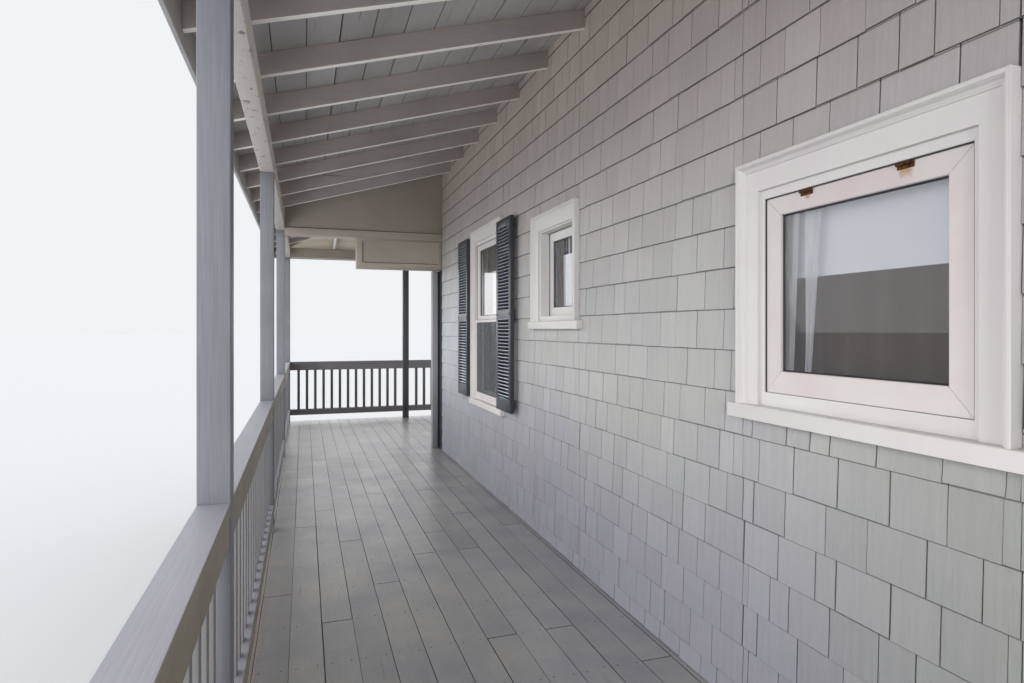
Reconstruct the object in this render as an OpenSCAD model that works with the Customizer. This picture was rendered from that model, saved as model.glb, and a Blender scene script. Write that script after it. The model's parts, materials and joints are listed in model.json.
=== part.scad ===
// Covered porch that wraps the corner of a shingled beach house, with the two
// house walls that it leans on. Millimetres, Z up, ground at Z = 0.
// The side porch runs along Y, the front porch along X, and +Y faces the sea.
// Inside the modules X = 0 is the face of the side wall's shingles and Y = 0
// the face of the front wall's shingles, so the house corner is at the origin.

/* [Porch plan] */
// Clear width of the side porch, from the wall shingles to the posts
side_clear = 1727; // [1400:1:2200]
// Distance from one post to the next
bay = 2733; // [2200:1:3200]
// Number of whole bays behind the house corner
side_bays = 3; // [2:1:4]
// Where the front post stands past the line of the side wall
front_post_in = 24; // [0:1:200]
// How far the deck reaches past the outer face of the posts
deck_lip = 52; // [20:1:90]

/* [Heights] */
// Top of the deck above the ground
deck_h = 1200; // [900:10:1800]
// Length of the posts, from the deck to the underside of the beam
post_h = 2500; // [2300:10:2800]
// How far the walls go on above the porch roof
wall_over = 78; // [40:1:400]

/* [Lumber] */
// Side of a square post
post_w = 89; // [70:1:140]
// Height of the beam over the posts
beam_h = 140; // [100:1:240]
// Thickness of rafters, joists and rim boards
plank_t = 38; // [25:1:50]
// Depth of a rafter
rafter_d = 108; // [85:1:190]
// Distance from one rafter to the next
rafter_pitch = 581.6; // [400:0.1:700]
// Depth of a deck joist
joist_d = 184; // [140:1:240]
// Largest distance from one joist to the next
joist_pitch = 406; // [300:1:450]
// Thickness of the deck boards
deck_t = 38; // [22:1:40]

/* [Roof] */
// Slope of the side roof in degrees
roof_pitch = 15.8; // [10:0.1:18]
// Rafter underside above the beam at the beam's inner edge
heel_lift = 10; // [4:1:16]
// How far the rafter tails pass the beam
eave_over = 163; // [80:1:300]
// Thickness of the roof boards, measured upright
roof_board_t = 20; // [14:1:30]
// Thickness of the roof shingles, measured upright
roofing_t = 24; // [12:1:40]
// Thickness of the fascia boards
fascia_t = 19; // [15:1:30]
// Depth of the fascia boards
fascia_d = 165; // [150:1:220]

/* [Walls] */
// Thickness of the framed walls
wall_t = 150; // [120:1:220]
// Thickness of the foundation walls
foundation_t = 200; // [180:1:300]
// Thickness of a wall shingle at its butt
shingle_t = 16; // [10:1:22]
// Thickness of a wall shingle where the next course covers it
shingle_top_t = 5; // [3:1:8]
// Height of one shingle course
course = 155.5; // [120:0.5:200]
// Height of the lowest butt line above the deck
first_course = 89; // [40:1:150]

/* [Railing] */
// Top of the railing above the deck
rail_top = 914; // [850:1:1100]
// Height of the cap of the top rail
cap_h = 38; // [30:1:50]
// Height of the rail under the cap
subrail_h = 89; // [60:1:110]
// Clear height under the bottom rail
rail_low = 105; // [60:1:150]
// Height of the bottom rail
bottom_rail_h = 85; // [60:1:110]
// Side of a square baluster
baluster_w = 38; // [25:1:45]
// Target distance from one baluster to the next
baluster_pitch = 124; // [100:1:150]

/* [End panel] */
// How far the gable panel hangs below the beam
gable_drop = 63; // [10:1:120]
// Height of the trim band on the gable panel
band_h = 80; // [40:1:120]
// Thickness of the trim band
band_t = 10; // [6:1:25]
// Width of the boxed panel beside the wall
box_w = 968; // [700:1:1200]
// Height of the boxed panel
box_h = 340; // [250:1:450]
// Width of the frame round the boxed panel's field
box_frame = 66; // [40:1:100]
// Depth of the boxed panel's field
box_recess = 14; // [5:1:25]
// Thickness of the whole end panel
panel_t = 139; // [90:1:180]
// Width of the half post at the house corner
wall_post_w = 64; // [50:1:80]

/* [Awning window] */
// Middle of the window, behind the house corner
awning_at = 6054; // [5800:1:6400]
// Clear width of the frame
awning_w = 734; // [600:1:900]
// Bottom of the clear opening above the deck
awning_low = 1190; // [1100:1:1300]
// Top of the clear opening above the deck
awning_top = 1866; // [1700:1:2000]
// Height of the sash's foot rail
awning_foot = 76; // [60:1:100]
// Height of the sash's head rail
awning_head = 63; // [50:1:90]
// Frame that shows under the sash, down to the sill
awning_under = 48; // [20:1:60]
// Frame that shows over the sash, up to the casing
awning_over = 31; // [5:1:40]
// Distance between the two hinges
hinge_gap = 355; // [250:1:450]

/* [Small window] */
// Middle of the window, behind the house corner
small_at = 3744; // [3600:1:3900]
// Clear width of the frame
small_w = 540; // [450:1:700]
// Bottom of the clear opening above the deck
small_low = 1497; // [1400:1:1600]
// Top of the clear opening above the deck
small_top = 2064; // [1900:1:2200]
// How far the sash is set into the wall
small_depth = 75; // [30:1:100]
// Width of the sash's side members
small_stile = 50; // [35:1:75]
// Height of the sash's head and foot rails
small_member = 59; // [35:1:75]
// Frame that shows under the sash, down to the sill
small_under = 34; // [20:1:60]
// Frame that shows over the sash, up to the casing
small_over = 10; // [5:1:40]

/* [Sash windows] */
// Middle of the side window, behind the house corner
hung_at = 2159; // [2050:1:2200]
// Middle of the front window, past the house corner
front_hung_at = 1500; // [1300:1:1700]
// Clear width of the frame
hung_w = 732; // [600:1:800]
// Bottom of the clear opening above the deck
hung_low = 790; // [650:1:900]
// Top of the clear opening above the deck
hung_top = 2184; // [2000:1:2300]
// How far the upper sash is set into the wall
hung_depth = 12; // [5:1:40]
// Height of the upper sash's head rail
hung_member = 50; // [40:1:65]
// Width of the side members of both sashes
hung_stile = 85; // [45:1:95]
// Height of the lower sash's foot rail
hung_foot = 66; // [50:1:90]
// Height of the rails where the two sashes meet
meet_h = 35; // [25:1:60]
// How far the meeting rails lie over the middle of the opening
meet_rise = 28; // [0:1:40]
// Frame that shows under the sashes, down to the sill
hung_under = 26; // [10:1:60]
// Frame that shows over the sashes, up to the casing
hung_over = 34; // [5:1:40]
// Width of the insect screen's side members
screen_member = 40; // [25:1:50]
// Height of the insect screen's foot rail
screen_foot = 66; // [30:1:80]
// Height of the insect screen's head rail
screen_head = 22; // [15:1:40]
// Thickness of the insect screen's frame
screen_t = 12; // [8:1:20]
// Thickness of the insect screen's cloth
cloth_t = 1; // [0.5:0.1:2]

/* [Window parts] */
// Width of the casing boards
casing_w = 90; // [70:1:120]
// Extra height of the casing's head board
head_extra = 15; // [0:1:40]
// Frame edge that shows inside the casing at the sides
side_reveal = 19; // [10:1:30]
// How far that edge lies behind the casing's face
reveal_set = 14; // [6:1:20]
// How far the casing stands out from the shingles
casing_out = 5; // [2:1:15]
// Width of the back band round the casing
band_w = 12; // [10:1:40]
// How far the back band stands out from the casing
band_out = 25; // [10:1:35]
// Thickness of the frame inside the wall
jamb_t = 19; // [12:1:30]
// Height of the sill
sill_h = 51; // [40:1:70]
// How far the sill stands out past the back band
sill_past = 4; // [2:1:40]
// How far the sill passes the casing at each side
sill_horn = 41; // [5:1:60]
// Thickness of a sash
sash_t = 35; // [28:1:45]
// Width of the awning sash's side members
stile_w = 68; // [45:1:85]
// Thickness of the glass
glass_t = 4; // [3:1:8]
// Clearance between a sash and its frame
sash_gap = 3; // [1:0.5:5]

/* [Shutters] */
// Width of one shutter
shutter_w = 373; // [300:1:420]
// Thickness of one shutter
shutter_t = 28; // [22:1:40]
// Top of the shutters above the window's clear opening
shutter_over = 85; // [20:1:150]
// Bottom of the shutters below the window's clear opening
shutter_under = 15; // [0:1:90]
// Gap between the casing and a shutter
shutter_gap = 3; // [1:1:30]
// How far the shutters stand off the shingles
shutter_stand = 30; // [10:1:50]
// Width of the strip that carries a shutter
strip_w = 40; // [25:1:48]
// Distance from one louvre to the next
louvre_pitch = 26; // [22:0.5:40]
// Width of the shutter's side members
shutter_stile = 48; // [35:1:60]
// Height of the shutter's middle rail
shutter_mid = 69; // [50:1:100]
// Height of the shutter's head rail
shutter_head = 56; // [50:1:100]
// Height of the shutter's foot rail
shutter_foot = 98; // [50:1:120]
// Bottom of the middle rail above the deck
shutter_mid_low = 1493; // [1300:1:1600]
// Rise of the arch over the upper louvres
arch_rise = 30; // [10:1:50]

/* [Hidden] */

SHINGLE = "gainsboro";
TRIM = "linen";
POST = "lightgray";
DARK = "darkslategray";

// Plan lines. The near end of the side porch is at low Y, the sea at high Y.
post_out = side_clear + post_w;
post_mid = side_clear + post_w / 2;
deck_x0 = -post_out - deck_lip;
near_y = -side_bays * bay - post_w;
deck_y0 = near_y - deck_lip;
deck_y1 = bay + deck_lip;
front_post_x = [front_post_in, front_post_in + bay];
front_end = front_post_x[1] + post_w / 2;
deck_x1 = front_end + deck_lip;

// The eaves lie at one height, so the front roof, with its longer run, is flatter.
drip = 25;
eave_x = -post_out - eave_over;
front_clear = bay - post_w;
hip_ratio = front_clear / side_clear;
eave_y = -eave_x * hip_ratio;
roof_over = fascia_t + drip;

// Round piers carry the deck posts, and reach a little past the deck's ends.
pier_d = 203;
pier_h = 150;
pier_in = 150;

// The origin is the middle of the whole footprint.
box_x0 = eave_x - roof_over;
box_x1 = max(deck_x1, front_post_x[1] + pier_d / 2);
box_y0 = min(deck_y0, near_y + post_w / 2 - pier_d / 2);
box_y1 = eave_y + roof_over * hip_ratio;
centre_x = (box_x0 + box_x1) / 2;
centre_y = (box_y0 + box_y1) / 2;

// Heights above the ground.
beam_z = deck_h + post_h;
beam_top = beam_z + beam_h;
slope = tan(roof_pitch);
front_slope = slope * side_clear / front_clear;
spring_z = beam_top + heel_lift + side_clear * slope;
rafter_v = rafter_d / cos(roof_pitch);
eave_z = spring_z + slope * eave_x;
wall_top = spring_z + rafter_v + roof_board_t + roofing_t + wall_over;
gable_z = beam_z - gable_drop;
box_z = gable_z - box_h;
joist_top = deck_h - deck_t;
joist_z = joist_top - joist_d;
girder_z = joist_z - joist_d;
girder_w = 2 * plank_t;
sill_plate = 28;
foundation_h = joist_z - sill_plate;

// Rafters: the end panel stands in the place of rafter number 0.
rafter_first = 108;
rafters = floor((-near_y - rafter_first - plank_t / 2) / rafter_pitch);
jacks = floor((front_clear - rafter_pitch / 2 + rafter_first) / rafter_pitch);
front_rafter_x = 75;
front_jacks = floor((side_clear - rafter_pitch / 4) / rafter_pitch);
front_rafters_past = floor((deck_x1 - front_rafter_x - plank_t / 2) / rafter_pitch);

// Shingle courses between the deck and the top of the wall.
courses = ceil((wall_top - deck_h - first_course) / course);
clad_low = deck_h + 6;

// Openings: clear width, low and high edge, frame that shows under and over.
AWNING = [awning_w, awning_low, awning_top, awning_under, awning_over];
SMALL = [small_w, small_low, small_top, small_under, small_over];
HUNG = [hung_w, hung_low, hung_top, hung_under, hung_over];
sill_out = casing_out + band_out + sill_past;
side_windows = [[awning_at, AWNING], [small_at, SMALL], [hung_at, HUNG]];
glass_in = (sash_t - glass_t) / 2;
eps = 1;

module placed() translate([-centre_x, -centre_y, 0]) children();

// Profiles drawn in X and Z, and run along Y from y0 to y1.
module along_y(y0, y1) translate([0, y1, 0]) rotate([90, 0, 0]) linear_extrude(y1 - y0) children();

// Profiles drawn in Y and Z, and run along X from x0 to x1.
module along_x(x0, x1) translate([x0, 0, 0]) rotate([90, 0, 90]) linear_extrude(x1 - x0) children();

module block(low, high) translate(low) cube(high - low);

// Wall frames of reference: X to the right seen from outside, Y into the
// wall from the shingles' face, Z up from the deck.
module on_side(at) translate([0, -at, deck_h]) rotate([0, 0, -90]) children();
module on_front(at) translate([at, 0, deck_h]) rotate([0, 0, 180]) children();

// Foundation, piers and deck framing
module side_foundation() color("silver")
    block([shingle_t, deck_y0, 0], [shingle_t + foundation_t, -shingle_t, foundation_h]);

module front_foundation() color("silver")
    block([shingle_t + foundation_t, -shingle_t - foundation_t, 0],
          [deck_x1, -shingle_t, foundation_h]);

// Every place where a deck post stands on a pier
function pier_places() = concat(
    [for (i = [-1:side_bays]) [-post_mid, -post_w / 2 - i * bay]],
    [for (x = front_post_x) [x, bay - post_w / 2]],
    [for (x = front_post_x) [x, pier_in]]);

module deck_piers() color("silver")
    for (p = pier_places())
        translate([p[0], p[1], 0]) cylinder(h = pier_h, d = pier_d, $fn = 48);

module deck_posts() color("peru")
    for (p = pier_places())
        translate([p[0] - post_w / 2, p[1] - post_w / 2, pier_h])
            cube([post_w, post_w, girder_z - pier_h]);

module girder(x, y0) block([x - girder_w / 2, y0, girder_z], [x + girder_w / 2, deck_y1 - 12, joist_z]);

module deck_girders() color("peru") {
    girder(-post_mid, deck_y0 + 12);
    for (x = front_post_x) girder(x, -shingle_t);
}

rim_in = 12;
rim_x0 = deck_x0 + rim_in;
rim_x1 = deck_x1 - rim_in;
rim_y0 = deck_y0 + rim_in;
rim_y1 = deck_y1 - rim_in;

module plank(low, high) block([low[0], low[1], joist_z], [high[0], high[1], joist_top]);

module rim_boards() color("lightgray") {
    plank([rim_x0, rim_y0], [rim_x0 + plank_t, rim_y1]);
    plank([rim_x0 + plank_t, rim_y1 - plank_t], [rim_x1, rim_y1]);
    plank([rim_x0 + plank_t, rim_y0], [shingle_t, rim_y0 + plank_t]);
    plank([rim_x1 - plank_t, -shingle_t], [rim_x1, rim_y1 - plank_t]);
}

// Ledgers on the house walls, which carry the joists' inner ends
module deck_ledgers() color("peru") {
    plank([shingle_t - plank_t, rim_y0 + plank_t], [shingle_t, -shingle_t]);
    plank([rim_x0 + plank_t, -shingle_t], [rim_x1 - plank_t, plank_t - shingle_t]);
}

// Joists share the length between two boards in equal steps.
module joist_run(x0, x1, y0, y1) {
    n = ceil((y1 - y0) / joist_pitch);
    for (i = [1:n - 1])
        let (y = y0 + i * (y1 - y0) / n)
            plank([x0, y - plank_t / 2], [x1, y + plank_t / 2]);
}

module deck_joists() color("peru") {
    joist_run(rim_x0 + plank_t, shingle_t - plank_t, rim_y0 + plank_t, -shingle_t);
    joist_run(rim_x0 + plank_t, rim_x1 - plank_t, plank_t - shingle_t, rim_y1 - plank_t);
}

module side_deck() color("slategray")
    block([deck_x0, deck_y0, joist_top], [shingle_t, -shingle_t, deck_h]);

module front_deck() color("slategray")
    block([deck_x0, -shingle_t, joist_top], [deck_x1, deck_y1, deck_h]);

// House walls with their window openings cut through
module window_cut(o) {
    w = o[0] + 2 * jamb_t;
    translate([-w / 2, 0, o[1] - o[3] - jamb_t])
        cube([w, shingle_t + wall_t + eps, o[2] - o[1] + o[3] + 2 * jamb_t]);
}

module side_wall() color("whitesmoke") difference() {
    block([shingle_t, deck_y0, foundation_h], [shingle_t + wall_t, -shingle_t, wall_top]);
    for (w = side_windows) on_side(w[0]) window_cut(w[1]);
}

module front_wall() color("whitesmoke") difference() {
    block([shingle_t + wall_t, -shingle_t - wall_t, foundation_h], [deck_x1, -shingle_t, wall_top]);
    on_front(front_hung_at) window_cut(HUNG);
}

// Outline of the shingle courses: each butt stands out over the course below.
function butt_z(i) = deck_h + first_course + (i - 1) * course;
function course_points() = concat([[0, clad_low], [-shingle_t, clad_low]],
    [for (i = [1:courses + 1]) each
        let (z = min(butt_z(i), wall_top)) [[-shingle_top_t, z], [-shingle_t, z]]]);
module course_outline() polygon(concat(
    [for (p = course_points()) if (p[1] < wall_top) p],
    [[-shingle_top_t, wall_top], [0, wall_top]]));

function casing_span(o) = o[0] + 2 * (side_reveal + casing_w);
function casing_head(o) = o[2] + o[4] + casing_w + head_extra;

// What a framed window covers of the shingles
module casing_cut(o) {
    w = casing_span(o);
    low = o[1] - o[3] - sill_h;
    translate([-w / 2, -eps, low]) cube([w, shingle_t + 2 * eps, casing_head(o) - low]);
    translate([-w / 2 - sill_horn, -eps, low])
        cube([w + 2 * sill_horn, shingle_t + 2 * eps, sill_h]);
}

module side_shingles() color(SHINGLE) difference() {
    translate([shingle_t, 0, 0]) along_y(deck_y0, -shingle_t) course_outline();
    for (w = side_windows) on_side(w[0]) casing_cut(w[1]);
    side_rafter_row();
    roof_slab(true, 0, roof_board_t + roofing_t);
    block([-eps, -post_w - panel_t, deck_h], [shingle_t + eps, 0, spring_z + rafter_v]);
}

module front_shingles() color(SHINGLE) difference() {
    along_x(shingle_t, deck_x1) translate([-shingle_t, 0]) mirror([1, 0]) course_outline();
    on_front(front_hung_at) casing_cut(HUNG);
    front_rafter_row();
    roof_slab(false, 0, roof_board_t + roofing_t);
}

// Posts
module post(x, y) translate([x - post_w / 2, y - post_w / 2, deck_h]) cube([post_w, post_w, post_h]);

module side_posts() color(POST)
    for (i = [0:side_bays]) post(-post_mid, -post_w / 2 - i * bay);

module corner_post() color(POST) post(-post_mid, bay - post_w / 2);

module front_posts() color(POST)
    for (x = front_post_x) post(x, bay - post_w / 2);

module wall_post() color(POST)
    block([-shingle_t - wall_post_w, -post_w, deck_h], [-shingle_t, 0, box_z]);

module corner_board() color(DARK) {
    block([shingle_t - 12, -post_w - panel_t, deck_h], [shingle_t, -post_w + 20, box_z]);
    block([-shingle_t, -post_w + 20, deck_h], [shingle_t, 0, box_z]);
}

// Railing of one bay, drawn along X from 0 to its length and centred on Y
module railing(length) {
    steps = round(length / baluster_pitch);
    low = rail_low + bottom_rail_h;
    high = rail_top - cap_h - subrail_h;
    translate([0, -post_w / 2, rail_top - cap_h]) cube([length, post_w, cap_h]);
    translate([0, -post_w / 2 + 3, high]) cube([length, post_w - 6, subrail_h]);
    translate([0, -post_w / 2, rail_low]) cube([length, post_w, bottom_rail_h]);
    for (i = [1:steps - 1])
        translate([i * length / steps - baluster_w / 2, -baluster_w / 2, low])
            cube([baluster_w, baluster_w, high - low]);
}

module side_railing(i) color(POST)
    translate([-post_mid, -(i + 1) * bay, deck_h]) rotate([0, 0, 90]) railing(bay - post_w);

module corner_rail() side_railing(-1);
module side_rail_far() side_railing(0);
module side_rail_middle() side_railing(1);
module side_rail_near() for (i = [2:side_bays - 1]) side_railing(i);

module front_railing(x0, x1) color(POST)
    translate([x0, bay - post_w / 2, deck_h]) railing(x1 - x0);

module front_rail_left() front_railing(-side_clear, front_post_x[0] - post_w / 2);
module front_rail_right() front_railing(front_post_x[0] + post_w / 2, front_post_x[1] - post_w / 2);

// Beams over the posts
module side_beam() color(POST)
    block([-post_out, near_y, beam_z], [-side_clear, bay, beam_top]);

module front_beam() color(POST)
    block([-side_clear, bay - post_w, beam_z], [front_end, bay, beam_top]);

// Height of the rafters' underside at the wall, less the fall to a point
function side_under(x) = spring_z + slope * x;
function front_under(y) = spring_z - front_slope * y;

// Rafter outline with its bird's mouth, cut out by the beam that it sits on
module side_rafter_outline() difference() {
    polygon([[shingle_t, side_under(shingle_t)], [shingle_t, side_under(shingle_t) + rafter_v],
             [eave_x, eave_z + rafter_v], [eave_x, eave_z]]);
    translate([-post_out, beam_z]) square([post_w, beam_h]);
}

module front_rafter_outline() difference() {
    polygon([[-shingle_t, front_under(-shingle_t)], [-shingle_t, front_under(-shingle_t) + rafter_v],
             [eave_y, eave_z + rafter_v], [eave_y, eave_z]]);
    translate([bay - post_w, beam_z]) square([post_w, beam_h]);
}

module side_rafter(y) along_y(y - plank_t / 2, y + plank_t / 2) side_rafter_outline();
module front_rafter(x) along_x(x - plank_t / 2, x + plank_t / 2) front_rafter_outline();

// The hip runs in plan from the house corner to the corner of the eaves.
hip_turn = atan2(eave_y, eave_x);
hip_run = sqrt(eave_x * eave_x + eave_y * eave_y);
far = 6000;

// Everything on one side of the hip, clear of its thickness
module beside_hip(left) rotate([0, 0, hip_turn])
    translate([-far, left ? plank_t / 2 : -plank_t / 2 - far, 0]) cube([2 * far, far, far]);

module side_rafter_row() for (i = [1:rafters]) side_rafter(-rafter_first - i * rafter_pitch);
module front_rafter_row() for (i = [0:front_rafters_past]) front_rafter(front_rafter_x + i * rafter_pitch);

module side_rafters() color("rosybrown") {
    side_rafter_row();
    for (i = [1:jacks]) intersection() {
        side_rafter(i * rafter_pitch - rafter_first);
        beside_hip(true);
    }
}

module front_rafters() color("rosybrown") {
    front_rafter_row();
    for (i = [1:front_jacks]) intersection() {
        front_rafter(front_rafter_x - i * rafter_pitch);
        beside_hip(false);
    }
}

// The hip's top is backed: bevelled to both roof slopes.
module hip_rafter() color("rosybrown") difference() {
    intersection() {
        rotate([0, 0, hip_turn]) rotate([90, 0, 0]) translate([0, 0, -plank_t / 2])
            linear_extrude(plank_t) polygon([[plank_t, spring_z - plank_t * (spring_z - eave_z) / hip_run],
                [plank_t, spring_z + rafter_v], [hip_run, eave_z + rafter_v], [hip_run, eave_z]]);
        under_side_roof();
        under_front_roof();
    }
    side_beam();
    front_beam();
}

module under_side_roof() along_y(-far, far) polygon([[0, 0], [0, spring_z + rafter_v],
    [eave_x, eave_z + rafter_v], [eave_x, 0]]);
module under_front_roof() along_x(-far, far) polygon([[0, 0], [0, spring_z + rafter_v],
    [eave_y, eave_z + rafter_v], [eave_y, 0]]);

// Plan outline of one roof slope, past the rafter tails by an overhang
module slope_plan(side, over) {
    edge_x = eave_x - over;
    edge_y = eave_y + over;
    if (side) polygon([[shingle_t, deck_y0], [edge_x, deck_y0], [edge_x, -edge_x * hip_ratio],
                       [shingle_t, -shingle_t * hip_ratio]]);
    else polygon([[deck_x1, -shingle_t], [deck_x1, edge_y], [-edge_y / hip_ratio, edge_y],
                  [shingle_t / hip_ratio, -shingle_t]]);
}

// A layer of the roof: its slope, its underside above the rafters, its thickness
module roof_layer(side, lift, t, over) {
    z0 = rafter_v + lift;
    intersection() {
        linear_extrude(far) slope_plan(side, over);
        if (side) along_y(-2 * far, far) polygon([for (p = [[-far, 0], [far, 0], [far, t], [-far, t]])
            [p[0], side_under(p[0]) + z0 + p[1]]]);
        else along_x(-far, far) polygon([for (p = [[-far, 0], [far, 0], [far, t], [-far, t]])
            [p[0], front_under(p[0]) + z0 + p[1]]]);
    }
}
module roof_slab(side, lift, t) roof_layer(side, lift, t, side ? roof_over : roof_over * hip_ratio);

module side_roof_boards() color("dimgray") roof_layer(true, 0, roof_board_t, fascia_t);
module front_roof_boards() color("dimgray") roof_layer(false, 0, roof_board_t, fascia_t * hip_ratio);
module side_roofing() color("darkgray") roof_layer(true, roof_board_t, roofing_t, roof_over);
module front_roofing() color("darkgray")
    roof_layer(false, roof_board_t, roofing_t, roof_over * hip_ratio);

// Fascia boards under the edge of the roof boards, which share the corner
module fascia() color(POST) {
    top = rafter_v + min(side_under(eave_x - fascia_t), front_under(eave_y + fascia_t));
    block([eave_x - fascia_t, deck_y0, top - fascia_d], [eave_x, eave_y + fascia_t, top]);
    block([eave_x - fascia_t, eave_y, top - fascia_d], [deck_x1, eave_y + fascia_t, top]);
}

// End panel between the last side post and the wall
module gable_panel() color("tan") along_y(-post_w - panel_t, -post_w) polygon([
    [-side_clear, gable_z], [shingle_t, gable_z],
    [shingle_t, side_under(shingle_t) + rafter_v], [-side_clear, side_under(-side_clear) + rafter_v]]);

module panel_band() color(POST)
    block([-side_clear, -post_w - panel_t - band_t, gable_z],
          [0, -post_w - panel_t, gable_z + band_h]);

module boxed_panel() color("tan") difference() {
    block([-box_w, -post_w - panel_t, box_z], [shingle_t, -post_w, gable_z]);
    for (y = [-post_w - panel_t - eps, -post_w - box_recess])
        block([-box_w + box_frame, y, box_z + box_frame],
              [shingle_t - box_frame, y + box_recess + eps, gable_z - box_frame / 2]);
}

// Window frame: casing with back band outside, the frame's edge inside it,
// and the jambs through the wall
module window_frame(o) {
    w = o[0];
    low = o[1] - o[3];
    high = o[2];
    ww = casing_span(o);
    top = casing_head(o);
    inner = w + 2 * side_reveal;
    difference() {
        union() {
            difference() {
                translate([-ww / 2, -casing_out, low]) cube([ww, casing_out + shingle_t, top - low]);
                translate([-inner / 2, -casing_out - eps, low - eps])
                    cube([inner, reveal_set + eps, high + o[4] - low + eps]);
            }
            translate([-w / 2 - jamb_t, shingle_t, low - jamb_t])
                cube([w + 2 * jamb_t, wall_t, high - low + 2 * jamb_t]);
            for (s = [0, 1]) mirror([s, 0, 0])
                translate([ww / 2 - band_w, -casing_out - band_out, low]) cube([band_w, band_out, top - low]);
            translate([-ww / 2, -casing_out - band_out, top - band_w]) cube([ww, band_out, band_w]);
        }
        translate([-w / 2, -casing_out - eps, o[1]])
            cube([w, casing_out + shingle_t + wall_t + 2 * eps, high - o[1]]);
    }
}

module window_sill(o) {
    low = o[1] - o[3] - sill_h;
    ww = casing_span(o) + 2 * sill_horn;
    fall = 3;
    translate([-ww / 2, 0, 0]) rotate([90, 0, 90]) linear_extrude(ww)
        polygon([[shingle_t, low], [-sill_out, low], [-sill_out, low + sill_h - fall],
                 [-casing_out - band_out, low + sill_h], [shingle_t, low + sill_h]]);
}

// A sash is [width, low edge, high edge, depth in the wall, stile, foot rail, head rail].
function awning_parts() = [awning_w - 2 * sash_gap, awning_low, awning_top - sash_gap,
    reveal_set + 8 - casing_out, stile_w, awning_foot, awning_head];
function small_parts() = [small_w - 2 * sash_gap, small_low, small_top - sash_gap,
    small_depth, small_stile, small_member, small_member];
meet_z = (hung_low + hung_top) / 2 + meet_rise;
function upper_parts() = [hung_w - 2 * sash_gap, meet_z - meet_h / 2, hung_top - sash_gap,
    hung_depth, hung_stile, meet_h, hung_member];
function lower_parts() = [hung_w - 2 * sash_gap, hung_low, meet_z + meet_h / 2,
    hung_depth + sash_t, hung_stile, hung_foot, meet_h];

// What fills a sash's frame, at an inset from its outer face and as thick as stated
module sash_field(p, inset, t)
    translate([-p[0] / 2 + p[4], p[3] + inset, p[1] + p[5]])
        cube([p[0] - 2 * p[4], t, p[2] - p[1] - p[5] - p[6]]);

module sash(p) difference() {
    translate([-p[0] / 2, p[3], p[1]]) cube([p[0], sash_t, p[2] - p[1]]);
    sash_field(p, -eps, sash_t + 2 * eps);
}

module pane(p) sash_field(p, glass_in, glass_t);

module awning_frame() color(TRIM) on_side(awning_at) window_frame(AWNING);
module awning_sash() color(TRIM) on_side(awning_at) sash(awning_parts());

// Two butt hinges on the head of the awning sash
module awning_hinges() color("saddlebrown") on_side(awning_at)
    for (x = [-hinge_gap / 2, hinge_gap / 2])
        translate([x - hinge_w / 2, awning_parts()[3], awning_top - sash_gap]) {
            translate([0, -leaf_t, -hinge_leaf - knuckle_r]) cube([hinge_w, leaf_t, hinge_leaf]);
            translate([0, -knuckle_r, -knuckle_r]) rotate([0, 90, 0])
                cylinder(h = hinge_w, r = knuckle_r, $fn = 24);
        }
hinge_w = 52;
hinge_leaf = 14;
leaf_t = 2;
knuckle_r = 5;

module small_frame() color(TRIM) on_side(small_at) window_frame(SMALL);
module small_sash() color(TRIM) on_side(small_at) sash(small_parts());

module hung_pair() {
    sash(upper_parts());
    sash(lower_parts());
}
module side_hung_frame() color(TRIM) on_side(hung_at) window_frame(HUNG);
module front_hung_frame() color(TRIM) on_front(front_hung_at) window_frame(HUNG);
module side_hung_sashes() color(TRIM) on_side(hung_at) hung_pair();
module front_hung_sashes() color(TRIM) on_front(front_hung_at) hung_pair();

module window_sills() color(TRIM) {
    for (w = side_windows) on_side(w[0]) window_sill(w[1]);
    on_front(front_hung_at) window_sill(HUNG);
}

// A half screen covers the lower sash. It stands between the casing boards, on the frame's edge.
function screen_parts() = [hung_w + 2 * side_reveal - 2 * sash_gap, hung_low - hung_under + sash_gap,
    meet_z - meet_h / 2 - sash_gap, reveal_set - casing_out - screen_t,
    screen_member, screen_foot, screen_head];

module screen_frame() difference() {
    p = screen_parts();
    translate([-p[0] / 2, p[3], p[1]]) cube([p[0], screen_t, p[2] - p[1]]);
    sash_field(p, -eps, screen_t + 2 * eps);
}

module window_screens() color(TRIM) {
    on_side(hung_at) screen_frame();
    on_front(front_hung_at) screen_frame();
}

module screen_cloth() color("dimgray", 0.6) {
    on_side(hung_at) sash_field(screen_parts(), (screen_t - cloth_t) / 2, cloth_t);
    on_front(front_hung_at) sash_field(screen_parts(), (screen_t - cloth_t) / 2, cloth_t);
}

module hung_panes() {
    pane(upper_parts());
    pane(lower_parts());
}

module window_glass() color("lightblue", 0.4) {
    on_side(awning_at) pane(awning_parts());
    on_side(small_at) pane(small_parts());
    on_side(hung_at) hung_panes();
    on_front(front_hung_at) hung_panes();
}

// Louvred shutter in its own frame: X from 0 to its width, Y its thickness
shutter_low = hung_low - shutter_under;
shutter_high = hung_top + shutter_over;
blade_t = 7;
blade_w = 32;
blade_tilt = 38;

module shutter_field(low, high, rise) {
    w = shutter_w - 2 * shutter_stile;
    r = (w * w / 4 + rise * rise) / (2 * rise);
    if (rise > 0) {
        translate([shutter_stile, low]) square([w, high - rise - low + eps]);
        intersection() {
            translate([shutter_stile, high - rise]) square([w, rise + eps]);
            translate([shutter_w / 2, high - r]) circle(r, $fn = 96);
        }
    }
    else translate([shutter_stile, low]) square([w, high - low]);
}

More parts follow.
